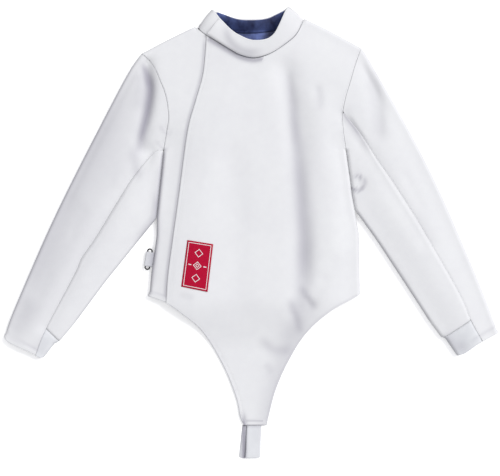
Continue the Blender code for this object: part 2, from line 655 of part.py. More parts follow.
def neck_edge(faces, columns):
    """The panels' top edge round the neck, moved clear of the seam: outer and inner points."""
    outer, inner = faces
    edge = outer[-1][columns][:, :2]
    away = -square_in(edge, outer[-2 - ROLL_STEPS][columns][:, :2])
    shift = np.zeros((len(columns), 3))
    shift[:, :2] = away * COLLAR_CLEAR
    return outer[-1][columns] + shift, inner[-1][columns] + shift


def collar_band(side_front, main_front, back):
    """The collar's cloth, from its tucked end round the back to its front end: outer and inner grids."""
    right_end = ROLL_STEPS + SHOULDER_RIGHT_STEPS
    left_end = ROLL_STEPS + SHOULDER_LEFT_STEPS + 1
    tucked = neck_edge(side_front, list(range(side_front[0].shape[1] - 1, right_end, -1)))
    behind = neck_edge(back, list(range(right_end + 1, back[0].shape[1] - left_end)))
    before = neck_edge(main_front, list(range(main_front[0].shape[1] - left_end - 1, -1, -1)))
    at_right = [0.5 * (t[-1] + b[0]) for t, b in zip(tucked, behind)]
    at_left = [0.5 * (t[-1] + b[0]) for t, b in zip(behind, before)]
    base_outer = np.vstack([tucked[0], at_right[0][None], behind[0], at_left[0][None], before[0]])
    base_inner = np.vstack([tucked[1], at_right[1][None], behind[1], at_left[1][None], before[1]])
    knots = [0, len(tucked[0]), len(tucked[0]) + 1 + len(behind[0]), len(base_outer) - 1]
    middle = 0.5 * (base_outer + base_inner)
    rim = []
    for curve, low, high in zip((RIM_TUCKED, RIM_BACK, RIM_FRONT), knots[:-1], knots[1:]):
        run = lengths(middle[low:high + 1])
        dense = spline(curve)
        rim.append(along(dense, run / run[-1] * lengths(dense)[-1])[:-1 if high != knots[-1] else None])
    rim = np.vstack(rim)
    over = smoothstep((np.arange(len(middle)) - knots[3] + COLLAR_OVER[0]) / COLLAR_OVER[1])
    grid = np.array([(1 - v) * middle + v * rim for v in COLLAR_ROWS])
    normal = unit(np.cross(np.gradient(grid, axis=1), np.gradient(grid, axis=0)))
    if normal[2, -4, 2] < 0:
        normal = -normal
    bow = np.array([math.sin(math.pi * v) * COLLAR_BOW for v in COLLAR_ROWS])[:, None, None]
    grid = grid + normal * bow
    grid[1:, :, 2] += (over * (COLLAR_CLOTH + LAYER_GAP) * COLLAR_OVER_SHARE)[None]
    outer, inner = grid + normal * COLLAR_CLOTH / 2, grid - normal * COLLAR_CLOTH / 2
    outer[0], inner[0] = base_outer, base_inner
    outer[..., 2] = np.maximum(outer[..., 2], 0.02)
    return outer, inner, normal, knots


def make_collar(side_front, main_front, back):
    """The collar, and the lining on its back's inner face."""
    outer, inner, normal, knots = collar_band(side_front, main_front, back)
    wall("collar", outer, inner, WHITE)
    low, high = knots[1] + LINING_ENDS[0], knots[2] - LINING_ENDS[1]
    rows = slice(1, None)
    face = inner[rows, low:high] - normal[rows, low:high] * LINING_CLEAR
    face[-1] = face[-1] * 0.97 + face[-2] * 0.03
    wall("collar_lining", face, face - normal[rows, low:high] * LINING_CLOTH, BLUE, 0.35)


def make_neck_lining(back):
    """A half-moon of lining that lies on the back panel below the back neck."""
    neck = spline(NECK_BACK)
    marks = np.linspace(NECK_LINING_ENDS, lengths(neck)[-1] - NECK_LINING_ENDS, 13)
    top = along(neck, marks) - np.array([0.0, NECK_LINING_EDGE])
    turn = np.radians(np.linspace(*NECK_LINING_TURN, len(top)))
    low_edge = np.stack([NECK_LINING_CENTRE[0] - NECK_LINING_SIZE[0] * np.cos(turn),
                         NECK_LINING_CENTRE[1] - NECK_LINING_SIZE[1] * np.sin(turn)], axis=1)
    places = np.array([top + step * (low_edge - top) for step in np.linspace(0.0, 1.0, 5)])
    low = np.full(places.shape[:2], CLOTH + LAYER_GAP)
    wall("neck_lining", np.dstack([places, low + LINING_CLOTH]), np.dstack([places, low]), BLUE, 0.35)


def patch_on(panel, corners, rows, columns):
    """Points on a panel's outer face, over a four-cornered patch."""
    tree = BVHTree.FromPolygons([Vector(v.co) for v in panel.data.vertices],
                                [tuple(p.vertices) for p in panel.data.polygons])
    a, b, c, d = (np.array(p, float) for p in corners)
    grid = []
    for v in np.linspace(0.0, 1.0, rows):
        line = []
        for u in np.linspace(0.0, 1.0, columns):
            place = (1 - v) * ((1 - u) * a + u * b) + v * ((1 - u) * d + u * c)
            hit = tree.ray_cast(Vector((place[0] * MM, place[1] * MM, 1.0)), Vector((0, 0, -1)))[0]
            line.append((place[0], place[1], hit.z / MM))
        grid.append(line)
    return np.array(grid)


def make_label(panel):
    """The patch on the main front, made from the panel's own points."""
    face = patch_on(panel, LABEL_CORNERS, *LABEL_GRID)
    low = face + np.array([0.0, 0.0, LABEL_LIFT])
    wall("label_patch", low + np.array([0.0, 0.0, LABEL_CLOTH]), low, CRIMSON, 0.6)


def ribbon(name, path, half_width, thickness, colour):
    """A strap along a path of x, y, z centre points that is flat across X, as a closed strip."""
    path = np.array(path, float)
    run = np.gradient(path[:, 1:], lengths(path[:, 1:]), axis=0)
    normal = unit(np.stack([-run[:, 1], run[:, 0]], axis=1))
    grids = []
    for side in (0.5, -0.5):
        face = path.copy()
        face[:, 1:] += normal * thickness * side
        left, right = face.copy(), face.copy()
        left[:, 0] -= half_width
        right[:, 0] += half_width
        grids.append(np.stack([left, face, right], axis=1))
    return wall(name, *grids, colour)


def make_crotch_strap():
    """Elastic loop from the tail's tip: a front leg, a skewed turn, and a rear leg behind it."""
    lower = STRAP_CLOTH / 2 + 0.02
    radius = 0.5 * (STRAP_HEIGHT - lower)
    centre = STRAP_END + radius + STRAP_CLOTH / 2
    path = [(7.8, STRAP_TOP, 3.1), (7.2, STRAP_TOP - 15, 3.9), (6.2, STRAP_TOP - 35, 4.4),
            (5.4, STRAP_END + 12, STRAP_HEIGHT), (4.8, centre, STRAP_HEIGHT)]
    for degrees in (30, 60, 90, 120, 150, 180):
        angle = math.radians(degrees)
        path.append((4.8 - STRAP_SKEW * degrees / 180.0, centre - math.sin(angle) * radius,
                     lower + radius * (1 + math.cos(angle))))
    path += [(-7.5, STRAP_END + 14, lower), (-5.0, -430.0, lower), (-1.6, STRAP_TOP, lower)]
    ribbon("crotch_strap", path, WEBBING_WIDTH / 2, STRAP_CLOTH, ELASTIC_WHITE)


def make_casing():
    """The stitched casing across the tail's tip."""
    bpy.ops.mesh.primitive_cube_add(size=1.0)
    made = bpy.context.active_object
    made.name = made.data.name = "tail_casing"
    for vertex in made.data.vertices:
        vertex.co = (
            (vertex.co.x * CASING_SIZE[0] + CASING_CENTRE[0]) * MM,
            (vertex.co.y * CASING_SIZE[1] + CASING_CENTRE[1]) * MM,
            ((vertex.co.z + 0.5) * CASING_SIZE[2] + CLOTH + SEAM_GAP) * MM,
        )
    bevel = made.modifiers.new("soft edges", "BEVEL")
    bevel.width, bevel.segments = CASING_ROUND * MM, 2
    made.data.materials.append(material("tail_casing", WHITE, 0.85))
    for collection in list(made.users_collection):
        collection.objects.unlink(made)
    PARTS.objects.link(made)


def at_side(x, y):
    """A place by the side strap, from its own centre and tilt."""
    angle = math.radians(SIDE_STRAP_TILT)
    return (SIDE_STRAP_CENTRE[0] + x * math.cos(angle) - y * math.sin(angle),
            SIDE_STRAP_CENTRE[1] + x * math.sin(angle) + y * math.cos(angle))


def make_side_strap():
    """Webbing folded round the wire ring's outer bar, its two ends against the side fold."""
    middle = BUCKLE_WIRE / 2 + SIDE_STRAP_SLACK + STRAP_CLOTH / 2
    outline = [(SIDE_STRAP_REACH, middle), (SIDE_STRAP_REACH / 2, middle)]
    for degrees in range(90, 271, 30):
        angle = math.radians(degrees)
        outline.append((-BUCKLE_SIZE[0] / 2 + middle * math.cos(angle), middle * math.sin(angle)))
    outline += [(SIDE_STRAP_REACH / 2, -middle), (SIDE_STRAP_REACH, -middle)]
    outline = np.array(outline)
    run = np.gradient(outline, axis=0)
    normal = unit(np.stack([-run[:, 1], run[:, 0]], axis=1))
    grids = []
    for side in (-0.5, 0.5):
        face = outline + normal * STRAP_CLOTH * side
        rows = []
        for y in (-WEBBING_WIDTH / 2, 0.0, WEBBING_WIDTH / 2):
            rows.append([(*at_side(x, y), ROLL_RADIUS + z) for x, z in face])
        grids.append(np.array(rows))
    wall("side_strap", *grids, ELASTIC_WHITE)


def make_side_buckle():
    """Closed wire ring with round corners, through the webbing."""
    half_x, half_y = BUCKLE_SIZE[0] / 2, BUCKLE_SIZE[1] / 2
    data = bpy.data.curves.new("side_buckle", "CURVE")
    data.dimensions = "3D"
    points = []
    for quarter, (sx, sy) in enumerate(((1, 1), (-1, 1), (-1, -1), (1, -1))):
        for part in range(5):
            angle = math.radians(90 * quarter + 22.5 * part)
            x = sx * (half_x - BUCKLE_CORNER) + BUCKLE_CORNER * math.cos(angle)
            y = sy * (half_y - BUCKLE_CORNER) + BUCKLE_CORNER * math.sin(angle)
            points.append((*at_side(x, y), ROLL_RADIUS))
    path = data.splines.new("POLY")
    path.points.add(len(points) - 1)
    for point, place in zip(path.points, points):
        point.co = (*(value * MM for value in place), 1.0)
    path.use_cyclic_u = True
    data.bevel_depth, data.bevel_resolution = BUCKLE_WIRE / 2 * MM, 2
    made = bpy.data.objects.new("side_buckle", data)
    data.materials.append(material("side_buckle", BLACK, 0.35))
    PARTS.objects.link(made)


def centre_part():
    """Move every piece alike, so that the whole box stands on z = 0 and is centred on the origin."""
    meshes = [made.data for made in PARTS.objects if made.type == "MESH"]
    places = np.array([vertex.co for mesh in meshes for vertex in mesh.vertices])
    low, high = places.min(0), places.max(0)
    move = Vector((-(low[0] + high[0]) / 2, -(low[1] + high[1]) / 2, -low[2]))
    for made in PARTS.objects:
        made.data.transform(Matrix.Translation(move))


def main():
    side = side_front_sheet().front()
    wall("front_side", *side, WHITE)
    body = main_front_sheet()
    whole = stack(tail_rows(body.places[0]), body)
    main_front = whole.front(lift=overlap_lift(whole.places))
    panel = wall("front_main", *main_front, WHITE)
    back = back_sheet().back()
    wall("back", *back, WHITE)
    make_sleeve("right", SLEEVE_RIGHT_OUTER, SLEEVE_RIGHT_INNER, SLEEVE_RIGHT_HEM, ARMHOLE_RIGHT,
                SEAM_RIGHT, INSERT_RIGHT, -1)
    make_sleeve("left", SLEEVE_LEFT_OUTER, SLEEVE_LEFT_INNER, SLEEVE_LEFT_HEM, ARMHOLE_LEFT,
                SEAM_LEFT, INSERT_LEFT, 1)
    make_collar(side, main_front, back)
    make_neck_lining(back)
    make_label(panel)
    make_casing()
    make_crotch_strap()
    make_side_strap()
    make_side_buckle()
    centre_part()


for old in list(bpy.data.objects):
    bpy.data.objects.remove(old)
PARTS = bpy.data.collections.new("fencing_jacket")
bpy.context.scene.collection.children.link(PARTS)
main()
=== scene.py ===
import json
import math

import bmesh
import bpy
import numpy as np
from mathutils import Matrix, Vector

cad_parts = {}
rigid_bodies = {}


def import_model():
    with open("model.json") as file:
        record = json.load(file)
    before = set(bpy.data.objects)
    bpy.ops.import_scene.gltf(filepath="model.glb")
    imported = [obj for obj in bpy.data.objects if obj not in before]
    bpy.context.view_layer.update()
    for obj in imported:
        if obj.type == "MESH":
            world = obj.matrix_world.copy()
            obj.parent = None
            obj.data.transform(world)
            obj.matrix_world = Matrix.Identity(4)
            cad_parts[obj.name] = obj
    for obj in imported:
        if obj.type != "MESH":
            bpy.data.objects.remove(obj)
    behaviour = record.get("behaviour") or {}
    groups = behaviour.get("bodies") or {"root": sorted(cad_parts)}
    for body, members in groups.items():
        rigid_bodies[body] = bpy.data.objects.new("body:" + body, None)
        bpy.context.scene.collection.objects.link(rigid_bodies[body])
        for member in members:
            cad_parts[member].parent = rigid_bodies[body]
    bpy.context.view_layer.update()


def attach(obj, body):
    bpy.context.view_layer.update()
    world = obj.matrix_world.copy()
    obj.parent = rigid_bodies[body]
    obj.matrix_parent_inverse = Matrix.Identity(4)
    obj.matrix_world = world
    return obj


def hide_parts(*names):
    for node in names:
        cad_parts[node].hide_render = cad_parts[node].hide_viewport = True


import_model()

mm = 0.001

# Sizes of the laid jacket in millimetres, from the same outline as the solids
laid = {
    "cloth": 2.4,
    "seamGap": 0.3,
    "drawnGap": 0.12,       # gap between the two parts of a sleeve, drawn closer than a seam
    "layerGap": 0.35,
    "roll": 8.0,            # radius of the cloth where it turns from front to back
    "rollFade": 14.0,       # the large folds start this far from the roll
    "crownHeight": 10.0,    # how far the front stands up between its folds
    "crownSpread": 38.0,
    "creaseFrom": 3.0,
    "creaseFade": 9.0,
    "overlap": 40.0,
    "overlapPast": 4.0,
    "overlapFade": 60.0,
    "overlapLow": -152.0,   # from here down the main front sinks off the side front
    "overlapDrop": 90.0,
    "neckBend": 110.0,      # over this length the placket's strip turns into the neck's curve
    "bendFrom": 60.0,       # and the rows above this level take up the top edge's bend
    "bendPower": 1.5,
    "backFrom": 0.9,        # the creases underneath start at this share of the roll
    "backFade": 0.1,
    "tailReach": 240.0,
    "tailTop": -128.0,      # from here down the tail sinks to the floor
    "tailDrop": 118.0,
    "tailFolds": 0.3,
    "shift": np.array([-1.0, -0.8545]),
}

outline = {
    "sideRight": [(-212.5, -129.5), (-208, -120), (-205, -84), (-200, -52), (-194, -6), (-193.5, 31), (-179, 170)],
    "sideLeft": [(226.5, -126), (224, 0), (215.5, 48), (209.5, 80), (206, 110), (197.5, 170)],
    "armholeRight": [(-179, 170), (-171.8, 213), (-168, 239), (-173.5, 281), (-186, 315), (-202, 348),
                     (-224.5, 371.5)],
    "armholeLeft": [(197.5, 170), (191.5, 210), (189.5, 246), (196, 281), (205, 311), (216, 348), (228.5, 383)],
    "shoulderRight": [(-224.5, 371.5), (-170, 400), (-115.5, 426.5)],
    "shoulderLeft": [(112.5, 443), (168, 416), (228.5, 383)],
    "neckRight": [(-115.5, 426.5), (-103, 416), (-90, 406.5)],
    "neckFront": [(-90, 406.5), (-67, 392), (-38, 374.5), (-20.5, 365.5), (5, 360), (28, 364), (55, 377),
                  (93, 406.5), (112.5, 443)],
    "neckBack": [(-115.5, 426.5), (-60, 419.5), (5, 417.5), (60, 424.5), (112.5, 443)],
    "placket": [(-173.5, -143), (-170, -90), (-163, -35), (-147, 80), (-129.5, 209), (-113, 271), (-97, 330),
                (-90, 406.5)],
    "legRight": [(-173.5, -143), (-142, -165.5), (-99.5, -203), (-57, -273), (-30, -339.5), (-21.5, -380),
                 (-13.5, -397)],
    "legLeft": [(226.5, -126), (216, -132.5), (164.5, -161.5), (115, -207), (77.5, -267), (52, -325), (38, -378),
                (34, -397)],
}

# The front's large folds, as in the solids: path, height (down is negative), half width
largeFolds = [
    ([(72, 335), (92, 225), (104, 120), (109, 20), (110, -70), (104, -150)], -6.5, 24),
    ([(142, 270), (150, 190), (170, 100), (176, -30)], 3, 26),
    ([(-40, 150), (-30, 0), (-24, -160)], -2, 30),
    ([(-213, 352), (-207, 300), (-213, 245), (-224, 175)], -8, 12.5),
    ([(-202, 168), (-246, 112), (-285, 58), (-330, -20), (-372, -98), (-420, -190)], -4.5, 16),
    ([(-250, 300), (-300, 190), (-350, 80)], 2.5, 30),
    ([(247, 340), (258, 280), (263, 205)], -4, 18),
    ([(190, 244), (226, 193), (270, 120), (322, 40), (360, -20)], -3, 15),
    ([(150, -95), (126, -150)], -2, 13),
]

# Smaller creases set one by one, no two alike: path, height, half width
smallCreases = [
    ([(73, 347), (83, 295), (90, 237)], -2, 9),
    ([(94, 212), (102, 107), (108, 17)], -2.2, 12),
    ([(108, 57), (113, -43), (110, -131)], -2.4, 13),
    ([(134, 309), (141, 281), (142, 252)], -1.6, 9),
    ([(-18, 160), (-16, 90), (-20, -10)], -0.8, 22),
    ([(109, -127), (121, -141), (133, -155)], -1.8, 6.5),
    ([(85, -158), (93, -175), (101, -193)], -1.7, 7.5),
    ([(22, -219), (42, -238), (65, -243), (88, -240)], -1.2, 10),
    ([(31, -269), (38, -281), (44, -292)], -0.5, 8),
    ([(-151, -124), (-137, -130), (-115, -134)], -0.9, 6),
    ([(-178, 222), (-172, 212), (-160, 205)], -1.1, 4.5),
    ([(-186, 192), (-178, 181), (-166, 176)], -1, 4.5),
    ([(196, 236), (184, 222), (170, 214)], -1, 6),
    ([(199, 190), (190, 176), (178, 168)], -1, 6),
    ([(-224, 356), (-212, 323), (-207, 296), (-212, 256), (-224, 201)], -3, 8),
    ([(-200, 246), (-213, 212), (-221, 180)], 1.3, 6),
    ([(-206, 166), (-238, 119), (-275, 63), (-318, -8)], -0.9, 8),
    ([(-318, -8), (-347, -49), (-363, -86), (-398, -152)], -0.4, 9),
    ([(-232, 148), (-262, 122), (-284, 92)], 1.2, 8),
    ([(-492, -190), (-500, -199), (-505, -205)], -1.2, 5),
    ([(-330, 62), (-358, 20), (-376, -26)], -0.9, 10),
    ([(-402, -60), (-424, -104), (-446, -160)], -0.8, 11),
    ([(194, 249), (208, 230), (226, 204), (240, 182)], -1.8, 5.5),
    ([(203, 248), (224, 216), (246, 184)], 1.2, 6),
    ([(211, 117), (227, 113), (233, 101), (228, 90), (212, 88)], -1.3, 4.5),
    ([(214, 150), (226, 128), (230, 104)], 1, 6),
    ([(252, 338), (262, 290), (268, 232), (266, 190)], -1.1, 8),
    ([(300, 150), (330, 96), (362, 30)], -0.9, 11),
    ([(372, -40), (396, -86), (424, -140)], -0.8, 10),
    ([(284, -30), (318, -82), (346, -128)], 0.7, 12),
    ([(-250, -30), (-290, -80), (-326, -128)], 0.7, 11),
]

# The layer on the floor lifts off it here and there: path, lift, half width
backCreases = [
    ([(-120, 300), (-96, 190), (-104, 60)], 1.5, 20),
    ([(38, 330), (52, 180), (44, 20), (58, -90)], 1.3, 24),
    ([(150, 250), (160, 120), (150, -40)], 1.7, 17),
    ([(-40, 60), (-30, -30), (-44, -100)], 1, 15),
    ([(-262, 230), (-300, 140), (-352, 40)], 1.4, 14),
    ([(-330, -40), (-372, -110), (-410, -170)], 1, 11),
    ([(258, 250), (300, 150), (338, 60)], 1.5, 15),
    ([(352, 0), (392, -80), (424, -146)], 1.1, 11),
]

# Where the light falls off in the folds: path, strength, half width
shades = [
    ([(70, 356), (79, 315), (87, 262), (97, 160), (106, 50), (110, -40), (104, -140)], 0.36, 13),
    ([(72, 356), (81, 304), (92, 220), (98, 150)], 0.22, 10),
    ([(93, 200), (105, 60), (110, -40), (105, -137)], 0.30, 20),
    ([(137, 317), (142, 282), (141, 242)], 0.14, 9),
    ([(-229, 365), (-212, 323), (-207, 296), (-212, 256), (-224, 201), (-233, 147)], 0.88, 9),
    ([(-227, 349), (-219, 297), (-225, 237)], 0.20, 20),
    ([(-225, 368), (-254, 327), (-315, 211), (-378, 87), (-427, -17), (-489, -161), (-505, -205)], 0.24, 27),
    ([(-445, -123), (-475, -183), (-505, -213)], 0.20, 26),
    ([(-236, 400), (-300, 170), (-370, 20), (-440, -130), (-500, -260)], 0.21, 62),
    ([(-435, -253), (-430, -228), (-417, -215)], 0.14, 16),
    ([(-190, 60), (-197, -30), (-203, -90), (-209, -140)], 0.36, 9),
    ([(-180, 160), (-190, 90), (-194, 20)], 0.16, 9),
    ([(185, 253), (207, 223), (227, 195), (251, 159)], 0.26, 7),
    ([(243, 353), (257, 287), (263, 229), (261, 167)], 0.18, 16),
    ([(204, 112), (219, 118), (230, 112), (234, 101), (229, 91), (218, 87), (204, 93)], 0.62, 3.6),
    ([(205, 96), (213, 91), (222, 88)], 0.55, 2.6),
    ([(182, 258), (199, 235), (212, 219), (232, 192)], 0.42, 2.4),
    ([(389, -205), (423, -231), (456, -233)], 0.34, 14),
    ([(-55, 437), (-45, 401), (-29, 381), (-1, 370), (33, 377)], 0.38, 9),
    ([(14, -209), (42, -238), (65, -243), (98, -238)], 0.27, 11),
    ([(29, -266), (38, -281), (46, -294)], 0.14, 8),
    ([(150, -100), (91, -203), (59, -303), (36, -393), (16, -480)], 0.24, 25),
    ([(114, 10), (109, -70), (104, -130), (98, -200)], 0.24, 16),
    ([(99, -102), (112, -124), (125, -143), (139, -162)], 0.38, 7.5),
    ([(77, -126), (89, -158), (99, -188), (109, -218)], 0.36, 8.5),
    ([(-155, -122), (-137, -130), (-111, -134)], 0.12, 7),
    ([(-189, 225), (-177, 209), (-159, 200)], 0.22, 4),
    ([(-197, 195), (-183, 178), (-165, 172)], 0.20, 4),
    ([(-14, -360), (-13.5, -430), (-14, -500)], 0.92, 5.5),
    ([(-224, 354), (-213, 325), (-209, 294)], 0.48, 6),
    ([(-192, 96), (-197, 50), (-201, 30), (-218, 5), (-246, -30)], 0.32, 7),
    ([(-242, 190), (-237, 140), (-224, 104)], 0.24, 10),
    ([(-204, -15), (-210, -52), (-215, -90)], 0.24, 8),
]


def smooth(value):
    value = np.clip(value, 0.0, 1.0)
    return value * value * (3.0 - 2.0 * value)


def curveThrough(points, perSpan=14):
    p = np.array(points, float)
    p = np.vstack([2 * p[0] - p[1], p, 2 * p[-1] - p[-2]])
    t = np.linspace(0.0, 1.0, perSpan, endpoint=False)[:, None]
    spans = []
    for a, b, c, d in zip(p[:-3], p[1:-2], p[2:-1], p[3:]):
        spans.append(b + 0.5 * t * (c - a + t * (2 * a - 5 * b + 4 * c - d + t * (3 * (b - c) + d - a))))
    return np.vstack(spans + [p[-2][None]])


def runOf(curve):
    return np.concatenate([[0.0], np.cumsum(np.linalg.norm(np.diff(curve, axis=0), axis=1))])


def along(curve, marks):
    run = runOf(curve)
    return np.stack([np.interp(marks, run, curve[:, k]) for k in range(curve.shape[1])], axis=1)


def evenSteps(start, end, count):
    return list(np.linspace(start, end, count + 1)[1:])


def unit(vectors):
    return vectors / np.maximum(np.linalg.norm(vectors, axis=-1, keepdims=True), 1e-9)


def nearestOn(points, curve):
    # distance to a curve in the plane, and the share of its run at the nearest point
    a, b = curve[:-1], curve[1:]
    run = b - a
    square = np.maximum((run * run).sum(1), 1e-9)
    offset = points[:, None, :] - a[None]
    share = np.clip((offset * run[None]).sum(2) / square[None], 0.0, 1.0)
    gap = offset - share[..., None] * run[None]
    squared = (gap * gap).sum(2)
    best = squared.argmin(1)
    rows = np.arange(len(points))
    marks = runOf(curve)
    place = marks[best] + share[rows, best] * (marks[best + 1] - marks[best])
    return np.sqrt(squared[rows, best]), place / marks[-1]


rollMarks = [laid["roll"] * (1 - math.cos(math.radians(a))) for a in range(0, 91, 15)]
rollSines = [math.sin(math.radians(a)) for a in range(0, 91, 15)]
seamSine = 0.5 * laid["seamGap"] / laid["roll"]
edgeMarks = [0.0, 0.25, 0.7, 1.3, 2.2, 3.6]    # grid lines close to a hem, for its round edge


def rollAt(distance):
    inside = np.clip(1.0 - np.asarray(distance) / laid["roll"], 0.0, 1.0)
    return np.sqrt(1.0 - inside * inside)


sleeves = {
    "right": {
        "outer": [(-224.5, 371.5), (-254, 327), (-315, 211), (-378, 87), (-427, -17), (-489, -161), (-503.5, -201),
                  (-508.5, -214)],
        "inner": [(-179, 170), (-193.5, 31), (-230, -14), (-300, -101), (-363, -186), (-394, -223), (-404, -227),
                  (-426, -256)],
        "hem": [(-508.5, -214), (-497, -226), (-453, -246), (-436, -256), (-426, -256)],
        "armhole": outline["armholeRight"],
        "seam": [(-179, 171), (-199, 166), (-240, 118), (-275, 63), (-318, -8), (-347, -50), (-363, -86),
                 (-422, -198), (-441, -245), (-447, -262)],
        "insert": (463.4, 571.7),
        "away": -1,
    },
    "left": {
        "outer": [(228.5, 383), (246.5, 355), (298, 265), (349, 172), (396, 75), (435, -15), (474, -108),
                  (508, -197), (510.5, -204)],
        "inner": [(197.5, 170), (206, 110), (209.5, 80), (215.5, 48), (260, -14), (317, -101), (371.5, -185),
                  (394, -215), (402, -217), (426, -252.5)],
        "hem": [(510.5, -204), (473, -225), (455, -238), (441, -247.5), (426, -252.5)],
        "armhole": outline["armholeLeft"],
        "seam": [(188, 252), (212, 224), (231, 199), (262, 150), (286, 116), (325, 56), (354, 9), (430, -124),
                 (453, -178), (478, -222), (484, -232)],
        "insert": (445.0, 598.3),
        "away": 1,
    },
}

foldEdges = [
    np.vstack([curveThrough(outline["shoulderRight"], 8)[::-1], curveThrough(sleeves["right"]["outer"], 8)]),
    np.vstack([curveThrough(outline["shoulderLeft"], 8), curveThrough(sleeves["left"]["outer"], 8)]),
    np.array(outline["sideRight"], float),
    np.array(sleeves["right"]["inner"], float),
    np.array(outline["sideLeft"], float),
    np.array(sleeves["left"]["inner"], float),
]
placketCurve = curveThrough(outline["placket"])


def creaseHeight(flat, creases, spans=6, ends=0.3):
    rise = np.zeros(len(flat))
    for path, height, width in creases:
        gap, share = nearestOn(flat, curveThrough(path, spans))
        fade = smooth(share / ends) * smooth((1 - share) / ends)
        rise += height * fade * np.exp(-((gap / width) ** 2))
    return rise


# The same along the sewn edges and hems, to their very ends
edgeShades = [
    (sleeves["right"]["outer"], 0.38, 3),
    (outline["sideRight"], 0.46, 4.4),
    (outline["legRight"], 0.40, 2.2),
    (sleeves["left"]["inner"][3:7], 0.34, 3),
    (sleeves["right"]["inner"][1:5], 0.22, 2.6),
    ([(x - 3, y) for x, y in outline["placket"]], 0.42, 3.6),
    ([(x, y - 5) for x, y in outline["neckFront"][:6]], 0.66, 5.2),
    ([(x - 2.6, y + 2.4) for x, y in outline["legLeft"]], 0.18, 1.9),
    ([(-214, -119), (-193, -125), (-172, -131)], 0.26, 2.6),
    ([(-503, -203), (-491, -216), (-447, -236), (-436, -243)], 0.26, 2.8),
    ([(505, -193), (468, -214), (452, -226)], 0.20, 2.8),
    (sleeves["right"]["inner"][:2], 0.34, 2.6),
    ([(-9, -388), (9, -387.8), (27, -388)], 0.50, 1.3),
    ([(-9, -396.6), (9, -396.6), (27, -396.6)], 0.50, 1.3),
]


shadeEnds = ((shades, 0.3), (edgeShades, 0.04))     # the share of a path over which its ends fade


def shadeOver(flat):
    light = np.ones(len(flat))
    for rows, ends in shadeEnds:
        for path, strength, width in rows:
            light *= 1.0 - creaseHeight(flat, [(path, strength, width)], ends=ends)
    return 1.0 - light


def frontHeight(points, roll):
    flat = points.reshape(-1, 2)
    near = sum(np.maximum(nearestOn(flat, edge)[0], 0.5) ** -3.0 for edge in foldEdges) ** (-1 / 3.0)
    inner = np.clip((near - laid["roll"]) / laid["crownSpread"], 0.0, None)
    rise = laid["crownHeight"] * inner * inner / (1.0 + inner * inner)
    openShare = smooth((near - laid["roll"]) / laid["rollFade"])
    for path, height, width in largeFolds:
        rise = rise + openShare * height * np.exp(-((nearestOn(flat, curveThrough(path, 6))[0] / width) ** 2))
    rise = rise + smooth((near - laid["creaseFrom"]) / laid["creaseFade"]) * creaseHeight(flat, smallCreases)
    top = laid["roll"] * (1.0 + roll.reshape(-1)) + rise
    drop = smooth((laid["tailTop"] - flat[:, 1]) / laid["tailDrop"]) * (np.abs(flat[:, 0]) < laid["tailReach"])
    low = laid["cloth"] + laid["tailFolds"] * rise
    return (top * (1.0 - drop) + low * drop).reshape(points.shape[:-1])


def overlapLift(points):
    flat = points.reshape(-1, 2)
    gap = nearestOn(flat, placketCurve)[0]
    side = 1.0 - smooth((gap - laid["overlap"] - laid["overlapPast"]) / laid["overlapFade"])
    down = 1.0 - smooth((laid["overlapLow"] - flat[:, 1]) / laid["overlapDrop"])
    return ((laid["cloth"] + laid["layerGap"]) * side * down).reshape(points.shape[:-1])


class LaidCloth:
    # a grid of places in the plane, its roll over the folds, and the way in from each fold
    def __init__(self, places, roll, inward):
        self.places, self.roll, self.inward = places, roll, inward

    def front(self, lift=0.0):
        return self.faces(frontHeight(self.places, self.roll) + lift, 1.0)

    def back(self):
        flat = self.places.reshape(-1, 2)
        inside = smooth((self.roll - laid["backFrom"]) / laid["backFade"])
        lift = creaseHeight(flat, backCreases).reshape(self.roll.shape) * inside
        return self.faces(laid["roll"] * (1.0 - self.roll) + lift, -1.0)

    def faces(self, height, side):
        lean = np.sqrt(np.clip(1.0 - self.roll ** 2, 0.0, 1.0))
        plane = self.places + self.inward * (laid["cloth"] * lean)[..., None]
        inner = np.dstack([plane, height - side * laid["cloth"] * self.roll])
        return np.dstack([self.places, height]), inner


def borderFirst(grid, border):
    # turns a grid so that its first row is the named border
    grid = grid if border in ("bottom", "top") else grid.swapaxes(0, 1)
    return grid if border in ("bottom", "left") else grid[::-1]


def borderBack(grid, border):
    grid = grid if border in ("bottom", "left") else grid[::-1]
    return grid if border in ("bottom", "top") else grid.swapaxes(0, 1)


def edgeRun(grid, border):
    # distance of each grid point from one border of the grid, along the grid lines
    lines = borderFirst(grid, border)
    steps = np.linalg.norm(np.diff(lines, axis=0), axis=2)
    return borderBack(np.concatenate([np.zeros((1, lines.shape[1])), np.cumsum(steps, axis=0)]), border)


def easeEdges(faces, borders, reach=1.3, squeeze=0.8):
    # rounds the cloth's edge, within its own thickness
    outer, inner = faces
    share = np.zeros(outer.shape[:2])
    for border in borders:
        inside = 1.0 - np.clip(edgeRun(outer, border) / reach, 0.0, 1.0)
        share = np.maximum(share, 1.0 - np.sqrt(1.0 - inside * inside))
    move = (inner - outer) * (0.5 * squeeze * share)[..., None]
    return outer + move, inner - move


def pressLine(faces, border, at, depth, width):
    # a sewn line pulls the outer face in, at a distance from one border
    outer, inner = faces
    pull = depth * np.exp(-(((edgeRun(outer, border) - at) / width) ** 2))
    return outer + unit(inner - outer) * pull[..., None], inner


def lineOn(faces, border, at, first=0.0, last=1.0):
    # points on the outer face at a distance from one border, over a share of its length
    turned = [borderFirst(grid, border).swapaxes(0, 1) for grid in (*faces, edgeRun(faces[0], border))]
    points = []
    for line, under, marks in zip(*turned):
        if marks[-1] < at:
            continue
        place = np.array([np.interp(at, marks, line[:, k]) for k in range(3)])
        out = unit(np.array([np.interp(at, marks, (line - under)[:, k]) for k in range(3)]))
        points.append(place + out * 0.05)
    points = np.array(points)
    share = runOf(points) / runOf(points)[-1]
    return points[(share >= first) & (share <= last)]


